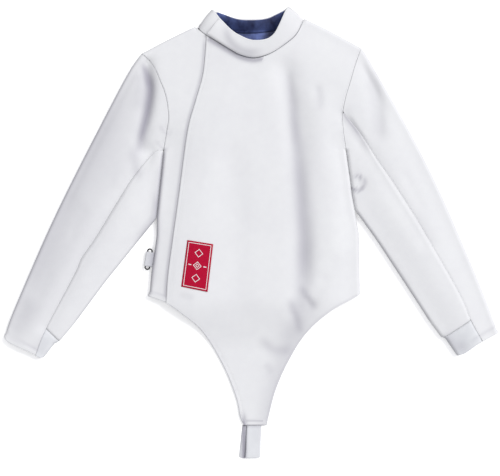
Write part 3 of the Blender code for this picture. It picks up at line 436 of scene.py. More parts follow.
sewnLines = {"white": [], "crimson": []}
allRound = ("top", "bottom", "left", "right")


def sew(faces, border, *offsets, colour="white", first=0.0, last=1.0):
    for at in offsets:
        sewnLines[colour].append(lineOn(faces, border, at, first, last))


def ruled(left, right, marks, top, weights):
    grid = []
    run = runOf(top)
    bend = top - top[0] - (run / run[-1])[:, None] * (top[-1] - top[0])
    for a, b, mark, weight in zip(left, right, marks, weights):
        share = np.array(mark) / mark[-1]
        grid.append(a + share[:, None] * (b - a) + weight * bend)
    return np.array(grid)


bodyGrid = {
    "side": 66, "armhole": 44, "shoulder": 20, "neck": 44, "sideShoulder": 12, "sideNeck": 4, "backShoulder": 14,
    "backNeck": 12, "sideLength": 330.0, "neckPoints": 90, "backPoints": 60, "strip": 9,
}
hemShares = [m / bodyGrid["sideLength"] for m in edgeMarks]
bodyShares = hemShares + evenSteps(hemShares[-1], 1.0, bodyGrid["side"])


def armholeMarks(total):
    marks = list(rollMarks) + evenSteps(rollMarks[-1], total - rollMarks[-1], bodyGrid["armhole"])
    return marks + [total - m for m in rollMarks[-2::-1]]


def sidePoints(side, armhole):
    side, armhole = np.array(side, float), curveThrough(armhole)
    total = runOf(armhole)[-1]
    fold = along(side, np.array(bodyShares) * runOf(side)[-1])
    return np.vstack([fold[:-1], along(armhole, [total - m for m in armholeMarks(total)][::-1])])


def rowLevels():
    top, low, arm = outline["placket"][-1][1], outline["placket"][0][1], outline["sideRight"][-1][1]
    marks = [low + s * (arm - low) for s in bodyShares] + [arm + m for m in rollMarks[1:]]
    marks += evenSteps(arm + rollMarks[-1], top - rollMarks[-1], bodyGrid["armhole"])
    return np.array(marks + [top - m for m in rollMarks[-2::-1]])


def placketPoints():
    levels = rowLevels()
    return np.stack([np.interp(levels, placketCurve[:, 1], placketCurve[:, 0]), levels], axis=1)


sideRolls = [seamSine] * len(bodyShares) + rollSines[1:] + [1.0] * (bodyGrid["armhole"] + len(rollMarks) - 1)
topRolls = [1.0] * (len(bodyShares) + len(rollMarks) - 1 + bodyGrid["armhole"]) + rollSines[-2:0:-1] + [seamSine]


def neckColumns(shoulder, neck, shoulderSteps, neckSteps, fromShoulder=True):
    if not fromShoulder:
        points, rolls = neckColumns(shoulder[::-1], neck[::-1], shoulderSteps, neckSteps)
        return points[::-1], rolls[::-1]
    shoulder = curveThrough(shoulder)
    first = along(shoulder, list(rollMarks) + evenSteps(rollMarks[-1], runOf(shoulder)[-1], shoulderSteps))
    second = along(neck, rollMarks[1:] + evenSteps(rollMarks[-1], runOf(neck)[-1], neckSteps))
    return np.vstack([first, second]), [seamSine] * len(first) + rollSines[1:] + [1.0] * neckSteps


def rowMarks(width, shares, leftRoll=False, rightRoll=False):
    low = rollMarks[-1] if leftRoll else 0.0
    high = width - (rollMarks[-1] if rightRoll else 0.0)
    start = rollMarks[:-1] if leftRoll else []
    end = [width - m for m in rollMarks[-2::-1]] if rightRoll else []
    return list(start) + [low + s * (high - low) for s in shares] + end


def sharesBetween(points, first, last):
    run = runOf(points)
    return [(run[k] - run[first]) / (run[last] - run[first]) for k in range(first, last + 1)]


def panelPlaces(left, right, top, span, weights, **rolls):
    shares = sharesBetween(top, *span)
    marks = [rowMarks(width, shares, **rolls) for width in np.linalg.norm(right - left, axis=1)]
    return ruled(left, right, marks, top, topWeights(weights))


def towards(places, near, far, columns):
    return np.repeat(unit(places[:, far] - places[:, near])[:, None], columns, axis=1)


def bodyPiece(places, side, top, sideIn):
    sideRoll = np.maximum(np.array(sideRolls)[:, None], np.array(side)[None])
    topRoll = np.maximum(np.array(topRolls)[:, None], np.array(top)[None])
    last = len(rollMarks)
    topIn = np.repeat(unit(places[-last] - places[-1])[None], len(places), axis=0)
    inward = np.where((sideRoll < topRoll)[..., None], sideIn, topIn)
    return LaidCloth(places, np.minimum(sideRoll, topRoll), inward)


stripOffsets = edgeMarks + evenSteps(edgeMarks[-1], laid["overlap"], bodyGrid["strip"])


def stripPlaces():
    neck = curveThrough(outline["neckFront"])
    neckPart = along(neck, stripOffsets) - neck[0]
    level = np.stack([stripOffsets, np.zeros(len(stripOffsets))], axis=1)
    low = outline["placket"][-1][1] - laid["neckBend"]
    bend = smooth((placketPoints()[:, 1] - low) / laid["neckBend"])[:, None, None]
    return placketPoints()[:, None] + (1 - bend) * level[None] + bend * neckPart[None]


def topWeights(line):
    low = laid["bendFrom"]
    return np.clip((line[:, 1] - low) / (line[-1, 1] - low), 0.0, 1.0) ** laid["bendPower"]


def sideFrontCloth():
    left, placket = sidePoints(outline["sideRight"], outline["armholeRight"]), placketPoints()
    neck = curveThrough(outline["neckRight"])
    top, topRoll = neckColumns(outline["shoulderRight"], neck, bodyGrid["sideShoulder"], bodyGrid["sideNeck"])
    first = len(rollMarks) - 1
    places = panelPlaces(left, placket, top, (first, len(top) - 1), placket, leftRoll=True)
    places = np.concatenate([places, stripPlaces()[:, 1:]], axis=1)
    columns = places.shape[1]
    side = rollSines + [1.0] * (columns - len(rollSines))
    return bodyPiece(places, side, topRoll + [1.0] * (columns - len(topRoll)), towards(places, 0, first, columns))


def mainFrontCloth():
    right, strip = sidePoints(outline["sideLeft"], outline["armholeLeft"]), stripPlaces()
    neck = curveThrough(outline["neckFront"])
    neckRest = along(neck, np.linspace(laid["overlap"], runOf(neck)[-1], bodyGrid["neckPoints"]))
    top, topRoll = neckColumns(outline["shoulderLeft"], neckRest, bodyGrid["shoulder"], bodyGrid["neck"], False)
    last = len(rollMarks)
    rest = panelPlaces(strip[:, -1], right, top, (0, len(top) - last), strip[:, -1], rightRoll=True)
    places = np.concatenate([strip[:, :-1], rest], axis=1)
    columns = places.shape[1]
    side = [1.0] * (columns - last) + rollSines[::-1]
    return bodyPiece(places, side, [1.0] * (columns - len(topRoll)) + topRoll, towards(places, -1, -last, columns))


tailGrid = {
    "near": [1.2, 3.0, 6.5, 10.0], "long": 66, "tip": 12.0, "tipSteps": 8,
    "legBlend": 20.0,       # over this length the grid lines close up to the leg edges
    "bendFade": 120.0,
}


def tailCloth(hem):
    rightLeg, leftLeg = curveThrough(outline["legRight"]), curveThrough(outline["legLeft"])
    near = tailGrid["near"]
    shortRun, longRun = runOf(rightLeg)[-1], runOf(leftLeg)[-1]
    tip = longRun - tailGrid["tip"]
    longMarks = near + evenSteps(near[-1], tip, tailGrid["long"]) + evenSteps(tip, longRun, tailGrid["tipSteps"])
    left = along(rightLeg, np.array(longMarks) * shortRun / longRun)
    right = along(leftLeg, longMarks)
    shares = runOf(hem) / runOf(hem)[-1]
    bendOff = hem - hem[0] - shares[:, None] * (hem[-1] - hem[0])
    rows = []
    for a, b, mark in zip(left, right, longMarks):
        width = np.linalg.norm(b - a)
        close = np.array([m / width for m in edgeMarks])
        moved = shares.copy()
        moved[:len(close)] = close
        moved[-len(close):] = 1 - close[::-1]
        moved = np.maximum.accumulate(moved)
        blend = smooth(mark / tailGrid["legBlend"])
        use = shares * (1 - blend) + moved * blend
        rows.append(a + use[:, None] * (b - a) + (1.0 - smooth(mark / tailGrid["bendFade"])) * bendOff)
    places = np.array(rows)
    inward = np.zeros_like(places)
    inward[..., 0] = -1.0
    return LaidCloth(places, rollAt(outline["legLeft"][0][0] - places[..., 0]), inward)


def stacked(lower, upper):
    lower = LaidCloth(lower.places[::-1], lower.roll[::-1], lower.inward[::-1])
    return LaidCloth(np.concatenate([lower.places, upper.places]), np.concatenate([lower.roll, upper.roll]),
                     np.concatenate([lower.inward, upper.inward]))


def backCloth():
    left = sidePoints(outline["sideRight"], outline["armholeRight"])
    right = sidePoints(outline["sideLeft"], outline["armholeLeft"])
    neck = curveThrough(outline["neckBack"])
    half = runOf(neck)[-1] / 2
    halves = [along(neck, np.linspace(start, start + half, bodyGrid["backPoints"])) for start in (0, half)]
    steps = bodyGrid["backShoulder"], bodyGrid["backNeck"]
    first, firstRoll = neckColumns(outline["shoulderRight"], halves[0], *steps)
    second, secondRoll = neckColumns(outline["shoulderLeft"], halves[1], *steps, False)
    top, last = np.vstack([first, second[1:]]), len(rollMarks)
    places = panelPlaces(left, right, top, (last - 1, len(top) - last), left, leftRoll=True, rightRoll=True)
    columns = places.shape[1]
    half = columns // 2
    sides = towards(places, 0, last - 1, half), towards(places, -1, -last, columns - half)
    sideIn = np.concatenate(sides, axis=1)
    side = rollSines + [1.0] * (columns - 2 * last) + rollSines[::-1]
    return bodyPiece(places, side, firstRoll + secondRoll[1:], sideIn)


def squareIn(points, inside):
    run = np.gradient(points, axis=0)
    side = unit(np.stack([-run[:, 1], run[:, 0]], axis=1))
    return side * np.where(((inside - points) * side).sum(1) < 0, -1.0, 1.0)[:, None]


sleeveGrid = {
    "length": 96, "upper": 22, "under": 9, "start": [1.0, 2.0, 3.5, 5.0],
    "seamWay": (0.96, -0.28), "seamShift": 0.45,        # the sleeve stands off the armhole this way and far
    "rollShare": 0.3, "leastUnder": 1.2,
    "cuff": (0.10, 0.23, 0.34, 0.46, 0.58, 0.70, 0.80, 0.88, 0.94, 0.965, 0.982, 0.993, 1.0),
}


def rowShares(width, fromFold, between):
    # shares of a sleeve's row: close over the outer fold, even, and close again at its far end
    reach = min(laid["roll"], sleeveGrid["rollShare"] * width)
    start = [m / laid["roll"] * reach for m in rollMarks] if fromFold else [0.0]
    far = [width - m / laid["roll"] * reach for m in rollMarks[::-1]]
    return np.array(start + evenSteps(start[-1], far[0], between) + far[1:]) / width


def crossingShare(a, b, path, least=0.02):
    # share of the way from a to b at which a path crosses it, or 1 where none does
    for p, q in zip(path[:-1], path[1:]):
        d, e = b - a, q - p
        turn = d[0] * e[1] - d[1] * e[0]
        if abs(turn) < 1e-9:
            continue
        s = ((p[0] - a[0]) * e[1] - (p[1] - a[1]) * e[0]) / turn
        t = ((p[0] - a[0]) * d[1] - (p[1] - a[1]) * d[0]) / turn
        if 0 <= t <= 1 and least < s <= 1.0:
            return s
    return 1.0


def sleeveCloth(sizes):
    shift = np.array([sizes["away"], 1]) * sleeveGrid["seamWay"] * sleeveGrid["seamShift"]
    outer, inner = curveThrough(sizes["outer"]) + shift, np.array(sizes["inner"], float) + shift
    armhole, hem = curveThrough(sizes["armhole"])[::-1] + shift, curveThrough(sizes["hem"]) + shift
    total, outerRun, innerRun = (runOf(curve)[-1] for curve in (armhole, outer, inner))
    foot = runOf(outer)[np.argmin(np.linalg.norm(outer - armhole[-1], axis=1))]
    armMarks = np.array(armholeMarks(total))
    innerStart, outerStart = sizes["insert"]
    innerMarks = sleeveGrid["start"] + evenSteps(sleeveGrid["start"][-1], innerStart, sleeveGrid["length"])
    outerMarks = list(np.interp(innerMarks, [0.0, innerStart], [foot, outerStart]))
    innerMarks += [innerStart + s * (innerRun - innerStart) for s in sleeveGrid["cuff"]]
    outerMarks += [outerStart + s * (outerRun - outerStart) for s in sleeveGrid["cuff"]]
    outerEnds = along(outer, np.concatenate([armMarks * foot / total, outerMarks]))
    innerEnds = np.vstack([along(armhole, armMarks), along(inner, innerMarks)])
    outerIn, innerIn = squareIn(outerEnds, innerEnds), squareIn(innerEnds, outerEnds)
    armholeWay = unit(along(armhole, [laid["roll"]])[0] - armhole[0])
    offTip = smooth(np.linalg.norm(outerEnds - outerEnds[0], axis=1) / laid["roll"])[:, None]
    cuffRows = len(sleeveGrid["cuff"])

    def rowPlaces(row, shares):
        line = outerEnds[row] + shares[:, None] * (innerEnds[row] - outerEnds[row])
        past = row - (len(outerEnds) - 1 - cuffRows)
        if past > 0:
            chord = hem[0] + shares[:, None] * (hem[-1] - hem[0])
            line = line + sleeveGrid["cuff"][past - 1] * (along(hem, shares * runOf(hem)[-1]) - chord)
        return line

    def lay(places, shares, rows):
        flat = places.reshape(-1, 2)
        fromOuter = rollAt(nearestOn(flat, outer)[0]).reshape(places.shape[:2])
        fromInner = rollAt(nearestOn(flat, inner)[0]).reshape(places.shape[:2])
        blend = shares[..., None]
        edgeWay = unit(offTip[rows] * outerIn[rows] + (1 - offTip[rows]) * armholeWay)
        outerWay = unit((1 - blend) * edgeWay[:, None] + blend * armholeWay)
        innerWay = np.repeat(innerIn[rows][:, None], places.shape[1], axis=1)
        inward = np.where((fromOuter <= fromInner)[..., None], outerWay, innerWay)
        return LaidCloth(places, np.minimum(fromOuter, fromInner), inward)

    rows = list(range(len(outerEnds)))
    widths = np.maximum(np.linalg.norm(innerEnds - outerEnds, axis=1), 1e-3)
    seamPath = curveThrough(sizes["seam"], 8) + shift
    seam = np.array([crossingShare(a, b, seamPath) for a, b in zip(outerEnds, innerEnds)])
    seam[:len(rollMarks) + len(sleeveGrid["start"])] = 1.0
    shares = np.array([rowShares(w * s, True, sleeveGrid["upper"]) * s for w, s in zip(widths, seam)])
    upper = lay(np.array([rowPlaces(r, shares[r]) for r in rows]), shares, rows)
    start = int(np.argmax((1 - seam) * widths > sleeveGrid["leastUnder"]))
    seamLine = upper.places[start:, -1]
    underEdge = seamLine - squareIn(seamLine, outerEnds[start:]) * laid["drawnGap"]
    underPlaces, underShares = [], []
    for row, first in zip(rows[start:], underEdge):
        marks = rowShares(np.linalg.norm(innerEnds[row] - first), False, sleeveGrid["under"])
        share = seam[row] + (1.0 - seam[row]) * marks
        places = rowPlaces(row, share)
        underPlaces.append(places + (1.0 - marks)[:, None] * (first - places[0]))
        underShares.append(share)
    under = lay(np.array(underPlaces), np.array(underShares), rows[start:])
    upper.roll[1:, -1] = np.maximum(upper.roll[1:, -1], seamSine)
    upper.inward[0] = armholeWay
    return upper, under, len(rows) - cuffRows - 1 - start


def wrapFold(upper, lower, foldLast):
    joined = []
    for top, low in zip(upper, lower):
        parts = [top, low[:, ::-1][:, 1:]] if foldLast else [top[:, ::-1], low[:, 1:]]
        joined.append(np.concatenate(parts, axis=1))
    return joined


def splitRows(faces, row):
    before, after = [], []
    for face in faces:
        step = unit(face[row + 1] - face[row]) * 0.5 * laid["seamGap"]
        before.append(np.concatenate([face[:row], (face[row] - step)[None]]))
        after.append(np.concatenate([(face[row] + step)[None], face[row + 1:]]))
    return before, after


# Materials
def newGroup(name, inputs, outputs):
    group = bpy.data.node_groups.new(name, "ShaderNodeTree")
    for label, kind, default in inputs:
        socket = group.interface.new_socket(label, in_out="INPUT", socket_type=kind)
        if default is not None:
            socket.default_value = default
    for label in outputs:
        group.interface.new_socket(label, in_out="OUTPUT", socket_type="NodeSocketFloat")
    return group, group.nodes.new("NodeGroupInput").outputs, group.nodes.new("NodeGroupOutput")


def plug(tree, socket, value):
    # a number, a colour or another node's output goes into a socket
    if isinstance(value, (int, float)):
        socket.default_value = value
    elif isinstance(value, tuple):
        socket.default_value = (*value, 1.0)
    elif value is not None:
        tree.links.new(value, socket)


def feed(tree, node, values):
    for label, value in values.items():
        plug(tree, node.inputs[label], value)
    return node.outputs[0] if node.outputs else None


def maths(tree, operation, a, b=None, c=None):
    node = tree.nodes.new("ShaderNodeMath")
    node.operation = operation
    return feed(tree, node, {0: a, 1: b, 2: c})


def noise(tree, vector, scale, detail=2.0, rough=0.5):
    return feed(tree, tree.nodes.new("ShaderNodeTexNoise"),
                {"Scale": scale, "Detail": detail, "Roughness": rough, "Vector": vector})


def mixColours(tree, factor, a, b):
    node = tree.nodes.new("ShaderNodeMix")
    node.data_type = "RGBA"
    feed(tree, node, {0: factor, 6: a, 7: b})
    return node.outputs[2]


def bumps(tree, height, strength, distance):
    return feed(tree, tree.nodes.new("ShaderNodeBump"),
                {"Strength": strength, "Distance": distance, "Height": height})


def grainOf(tree):
    uv = tree.nodes.new("ShaderNodeUVMap")
    uv.uv_map = "grain"
    return uv.outputs[0]


def splitPlace(tree, vector):
    split = tree.nodes.new("ShaderNodeSeparateXYZ")
    tree.links.new(vector, split.inputs[0])
    return split.outputs


def pointValue(tree, label):
    node = tree.nodes.new("ShaderNodeAttribute")
    node.attribute_name = label
    return node.outputs["Fac"]


def objectPlace(tree):
    return tree.nodes.new("ShaderNodeTexCoord").outputs["Object"]


def newMaterial(name, values):
    made = bpy.data.materials.new(name)
    made.use_nodes = True
    shader = made.node_tree.nodes["Principled BSDF"]
    feed(made.node_tree, shader, values)
    return made, made.node_tree, shader


def makeWeaveGroup():
    # two sets of threads, a thread apart each way, uneven in height
    inputs = [("Vector", "NodeSocketVector", None), ("Threads", "NodeSocketFloat", 900.0),
              ("Rib", "NodeSocketFloat", 0.0)]
    group, start, end = newGroup("clothWeave", inputs, ["Height", "Tone"])

    def calc(operation, *values):
        return maths(group, operation, *values)

    place = splitPlace(group, start["Vector"])
    turns = calc("MULTIPLY", start["Threads"], math.tau / 2)
    across, down = (calc("SINE", calc("MULTIPLY", way, turns)) for way in place[:2])
    plain = calc("MULTIPLY", calc("MULTIPLY", across, down), calc("SUBTRACT", 1.0, start["Rib"]))
    both = calc("ADD", plain, calc("MULTIPLY", calc("ABSOLUTE", across), start["Rib"]))
    slub = noise(group, start["Vector"], 420.0, 3.0, 0.6)
    soft = noise(group, start["Vector"], 9.0, 3.0, 0.55)
    mid = noise(group, start["Vector"], 60.0, 2.0, 0.5)
    feed(group, end, {"Height": calc("ADD", calc("MULTIPLY", both, 0.5), slub),
                      "Tone": calc("ADD", calc("MULTIPLY", soft, 0.65), calc("MULTIPLY", mid, 0.35))})
    return group


weaveGroup = makeWeaveGroup()
clothLooks = {
    # edge: a lighter colour along hems and rolled edges, a painted highlight where they catch the light
    "whiteCloth": {"light": (0.735, 0.738, 0.75), "deep": (0.69, 0.69, 0.71), "edge": (0.77, 0.775, 0.785),
                   "rough": 0.82, "threads": 900.0, "rib": 0.0, "bump": 0.25},
    "whiteElastic": {"light": (0.72, 0.73, 0.75), "deep": (0.63, 0.64, 0.67), "edge": None,
                     "rough": 0.8, "threads": 500.0, "rib": 0.8, "bump": 0.5},
}
foldTint = (0.285, 0.275, 0.33)     # what the cloth's colour turns to where the light falls off


def clothMaterial(name):
    looks = clothLooks[name]
    made, tree, shader = newMaterial(name, {"Sheen Weight": 0.1, "Sheen Roughness": 0.5})
    weave = tree.nodes.new("ShaderNodeGroup")
    weave.node_tree = weaveGroup
    feed(tree, weave, {"Threads": looks["threads"], "Rib": looks["rib"], "Vector": grainOf(tree)})
    tone = weave.outputs["Tone"]
    colour = mixColours(tree, maths(tree, "MULTIPLY_ADD", tone, 2.4, -0.7), looks["deep"], looks["light"])
    # painted highlight: the cloth turns lighter near hems and rolled edges
    if looks["edge"]:
        colour = mixColours(tree, pointValue(tree, "paintedEdgeHighlight"), colour, looks["edge"])
    feed(tree, shader, {"Base Color": mixColours(tree, pointValue(tree, "shade"), colour, foldTint),
                        "Roughness": maths(tree, "MULTIPLY_ADD", tone, 0.12, looks["rough"] - 0.06),
                        "Normal": bumps(tree, weave.outputs["Height"], looks["bump"], 0.0004)})
    return made


materials = {"white_cloth": clothMaterial("whiteCloth"), "white_elastic": clothMaterial("whiteElastic")}


def satinMaterial(looks):
    made, tree, shader = newMaterial("blueLining", {"Sheen Weight": 0.2})
    # the crumples bump the satin, and their lighter blue is a painted sheen
    crumpleAndSheen = noise(tree, grainOf(tree), looks["crumpleAndSheen"], 3.0, 0.55)
    thread = noise(tree, grainOf(tree), 900.0, 1.0)
    light = maths(tree, "MULTIPLY_ADD", crumpleAndSheen, 2.6, -0.85)
    feed(tree, shader, {"Base Color": mixColours(tree, light, looks["deep"], looks["light"]),
                        "Roughness": maths(tree, "MULTIPLY_ADD", thread, 0.2, 0.28),
                        "Normal": bumps(tree, maths(tree, "MULTIPLY_ADD", thread, 0.05, crumpleAndSheen), 0.7, 0.003)})
    return made


def addObject(name, data):
    made = bpy.data.objects.new(name, data)
    bpy.context.scene.collection.objects.link(made)
    return made


def shell(name, faces, material, grain=0.0, uvGrid=None, edgeReach=4.0, borders=()):
    # closed cloth between two like grids of points in mm, with its grain as a UV map
    outer, inner = faces
    rows, columns = outer.shape[:2]
    count = rows * columns
    points = np.vstack([outer.reshape(-1, 3), inner.reshape(-1, 3)])
    points[:, :2] += laid["shift"]
    points[:, 2] = np.maximum(points[:, 2], 0.0)    # hem ridges underneath are flat on the floor
    index = np.arange(count).reshape(rows, columns)
    a, b, c, d = (part.ravel() for part in (index[:-1, :-1], index[:-1, 1:], index[1:, 1:], index[1:, :-1]))
    quads = np.vstack([np.stack([a, b, c, d], axis=1), np.stack([d, c, b, a], axis=1) + count])
    rim = np.concatenate([index[0, :], index[1:, -1], index[-1, -2::-1], index[-2:0:-1, 0]])
    after = np.roll(rim, -1)
    quads = np.vstack([quads, np.stack([rim, rim + count, after + count, after], axis=1)])
    mesh = bpy.data.meshes.new(name)
    mesh.from_pydata((points * mm).tolist(), [], quads.tolist())
    # painted highlight near the given borders, where hems and rolled edges catch the light, and the painted shade
    # of the folds
    near = np.zeros(count)
    for border in borders:
        near = np.maximum(near, 1.0 - smooth(edgeRun(outer, border).ravel() / edgeReach))
    for label, values in (("paintedEdgeHighlight", near), ("shade", shadeOver(outer.reshape(-1, 3)[:, :2]))):
        layer = mesh.attributes.new(label, "FLOAT", "POINT")
        layer.data.foreach_set("value", np.tile(values, 2))
    if uvGrid is None:
        turn = math.radians(grain)
        x, y = points[:, 0] * mm, points[:, 1] * mm
        flat = np.stack([x * math.cos(turn) - y * math.sin(turn), x * math.sin(turn) + y * math.cos(turn)], axis=1)
    else:
        flat = np.tile(uvGrid.reshape(-1, 2), (2, 1))
    grainMap = mesh.uv_layers.new(name="grain")
    loops = np.zeros(len(mesh.loops), dtype=np.int32)
    mesh.loops.foreach_get("vertex_index", loops)
    grainMap.data.foreach_set("uv", flat[loops].ravel())
    shape = bmesh.new()
    shape.from_mesh(mesh)
    bmesh.ops.remove_doubles(shape, verts=shape.verts, dist=1e-7)
    bmesh.ops.recalc_face_normals(shape, faces=shape.faces)
    shape.to_mesh(mesh)
    shape.free()
    mesh.shade_smooth()
    mesh.materials.append(material)
    return addObject(name, mesh)


def dress(piece, node):
    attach(piece, "root")
    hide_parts(node)


def clothPiece(name, node, slot, faces, flat=None, area=None, restsOn=("floor",), held="laid", **finish):
    dress(shell(name, faces, materials[slot], **finish), node)


print("body: fronts and back")
sideFaces = sideFrontCloth().front()
mainCloth = mainFrontCloth()
wholeMain = stacked(tailCloth(mainCloth.places[0]), mainCloth)
mainFaces = wholeMain.front(lift=overlapLift(wholeMain.places))
backFaces = backCloth().back()

frontFinish = {
    "edgeStitch": 2.0, "seamStitch": 3.0, "hemLine": 9.5, "placketLine": 8.0, "width": 1.3,
    "depth": 0.6, "placketDepth": 0.35, "backDepth": 0.3,
    "ridge": (4.6, -1.1, 3.2),      # place, height (up is negative) and half width of the turned hem
}
sideDone = pressLine(sideFaces, "bottom", frontFinish["hemLine"], frontFinish["depth"], frontFinish["width"])
sideDone = pressLine(sideDone, "bottom", *frontFinish["ridge"])
sideDone = easeEdges(sideDone, ("bottom", "left", "top"))
armholeStart = len(bodyShares) + len(rollMarks) - 1
sew(sideDone, "bottom", frontFinish["edgeStitch"], frontFinish["hemLine"])
sew([face[armholeStart:] for face in sideDone], "left", frontFinish["seamStitch"], last=0.97)
clothPiece("frontSide", "front_side", "white_cloth", sideDone, (0.17, 0.58), 0.0535, ("backPanel",),
           borders=("bottom",))

mainDone = pressLine(mainFaces, "left", frontFinish["placketLine"], frontFinish["placketDepth"],
                     frontFinish["width"])
mainDone = easeEdges(mainDone, allRound)
tailRows = mainFaces[0].shape[0] - mainCloth.places.shape[0]
sew(mainDone, "left", frontFinish["edgeStitch"], frontFinish["placketLine"], first=0.005, last=0.995)
sew([face[:tailRows] for face in mainDone], "right", frontFinish["edgeStitch"], frontFinish["placketLine"],
    first=0.01)
sew([face[tailRows + armholeStart:] for face in mainDone], "right", frontFinish["seamStitch"], last=0.97)
clothPiece("frontMain", "front_main", "white_cloth", mainDone, (0.43, 0.86), 0.231, ("backPanel", "frontSide"),
           borders=("left",))

backDone = pressLine(backFaces, "bottom", frontFinish["hemLine"], frontFinish["backDepth"], frontFinish["width"])
backDone = easeEdges(backDone, allRound)
clothPiece("backPanel", "back", "white_cloth", backDone, (0.47, 0.58), 0.222, borders=("bottom",))

print("sleeves")
sleeveFinish = {
    "right": {"grain": -25.0, "Upper": ((0.29, 0.66), 0.131), "Under": ((0.15, 0.5), 0.057),
              "Insert": ((0.09, 0.06), 0.0031)},
    "left": {"grain": 25.0, "Upper": ((0.25, 0.66), 0.091), "Under": ((0.21, 0.55), 0.080),
             "Insert": ((0.14, 0.06), 0.0066)},
}
cuffFinish = {
    "line": 11.0, "groove": (1.1, 2.2), "ridge": (5.5, -1.1, 3.4), "insert": (0.5, 1.4),
    "seamStitch": 2.6, "insertStitch": 2.0,
}
foldEnds = {"reach": 0.8, "squeeze": 0.12}      # the two parts of a sleeve keep nearly square edges where they meet
for side, sizes in sleeves.items():
    finish, grain = sleeveFinish[side], {"grain": sleeveFinish[side]["grain"]}
    upper, under, insertRow = sleeveCloth(sizes)
    strip = wrapFold(upper.front(), upper.back(), foldLast=False)
    strip = pressLine(strip, "top", cuffFinish["line"], *cuffFinish["groove"])
    strip = pressLine(strip, "top", *cuffFinish["ridge"])
    strip = easeEdges(easeEdges(strip, ("top", "bottom")), ("left", "right"), **foldEnds)
    sew(strip, "top", cuffFinish["line"])
    sew(strip, "left", cuffFinish["seamStitch"], first=0.3, last=0.97)
    clothPiece(side + "SleeveUpper", side + "_sleeve_upper", "white_cloth", strip, *finish["Upper"], edgeReach=5.0,
               borders=("top",), **grain)
    sleeve, cuff = splitRows(wrapFold(under.front(), under.back(), foldLast=True), insertRow)
    sleeve = easeEdges(easeEdges(sleeve, ("top",)), ("left", "right"), **foldEnds)
    clothPiece(side + "SleeveUnder", side + "_sleeve_under", "white_cloth", sleeve, *finish["Under"], **grain)
    cuff = easeEdges(pressLine(cuff, "top", cuffFinish["line"], *cuffFinish["insert"]), allRound)
    sew(cuff, "top", cuffFinish["line"])
    sew(cuff, "bottom", cuffFinish["insertStitch"])
    clothPiece(side + "CuffInsert", side + "_cuff_insert", "white_elastic", cuff, *finish["Insert"], **grain)

print("collar and lining")
collar = {
    "cloth": 3.0,
    "bow": 2.5,
    "stand": 4.2,           # the band first stands up from its seam, then leans in
    "standTo": 0.11,
    "standPower": 1.5,
    "lip": 1.6,             # and it bulges out over the seam, between these shares of its height
    "lipTo": 0.07,
    "lipFade": (0.1, 0.3),
    "lapFrom": 62.0,        # the front end lies over the tucked one, up to here from its end
    "lapFade": 96.0,
    "lapLift": 0.35,
    "frontFrom": 4,         # columns before the front at which stand and lip begin
    "frontFade": 12.0,
    "middle": (0, 420),
    "clear": 0.8,
    "lowest": 0.02,
    "edgeStitch": 3.0,
    "seamStitch": 6.5,
    "rows": [0.0, 0.03, 0.07, 0.13, 0.22, 0.32, 0.42, 0.52, 0.62, 0.72, 0.80, 0.87, 0.92, 0.95, 0.975, 0.99, 1.0],
    "tucked": [(-38, 415.5, 25), (-56, 433.5, 22), (-69, 451, 18.5), (-77.5, 461.5, 13.5)],
    "back": [(-77.5, 461.5, 13.5), (-70, 457.5, 9), (-53, 450.5, 15), (-24, 439.5, 31), (4, 437, 40),
             (32, 440, 37), (54, 450, 32), (69, 458, 29.5), (76.5, 463.5, 33)],
    "front": [(76.5, 463.5, 33), (70, 452.5, 38.5), (59.5, 429, 39), (47.5, 408, 37), (31, 397.5, 36),
              (4, 396, 34.5), (-16.5, 403.5, 32), (-38, 417, 28), (-63.5, 443, 22.5)],
}


def neckEdge(faces, columns):
    outer, inner = faces
    edge = outer[-1][columns][:, :2]
    shift = np.zeros((len(columns), 3))
    shift[:, :2] = -squareIn(edge, outer[-len(rollMarks) - 1][columns][:, :2]) * collar["clear"]
    return outer[-1][columns] + shift, inner[-1][columns] + shift


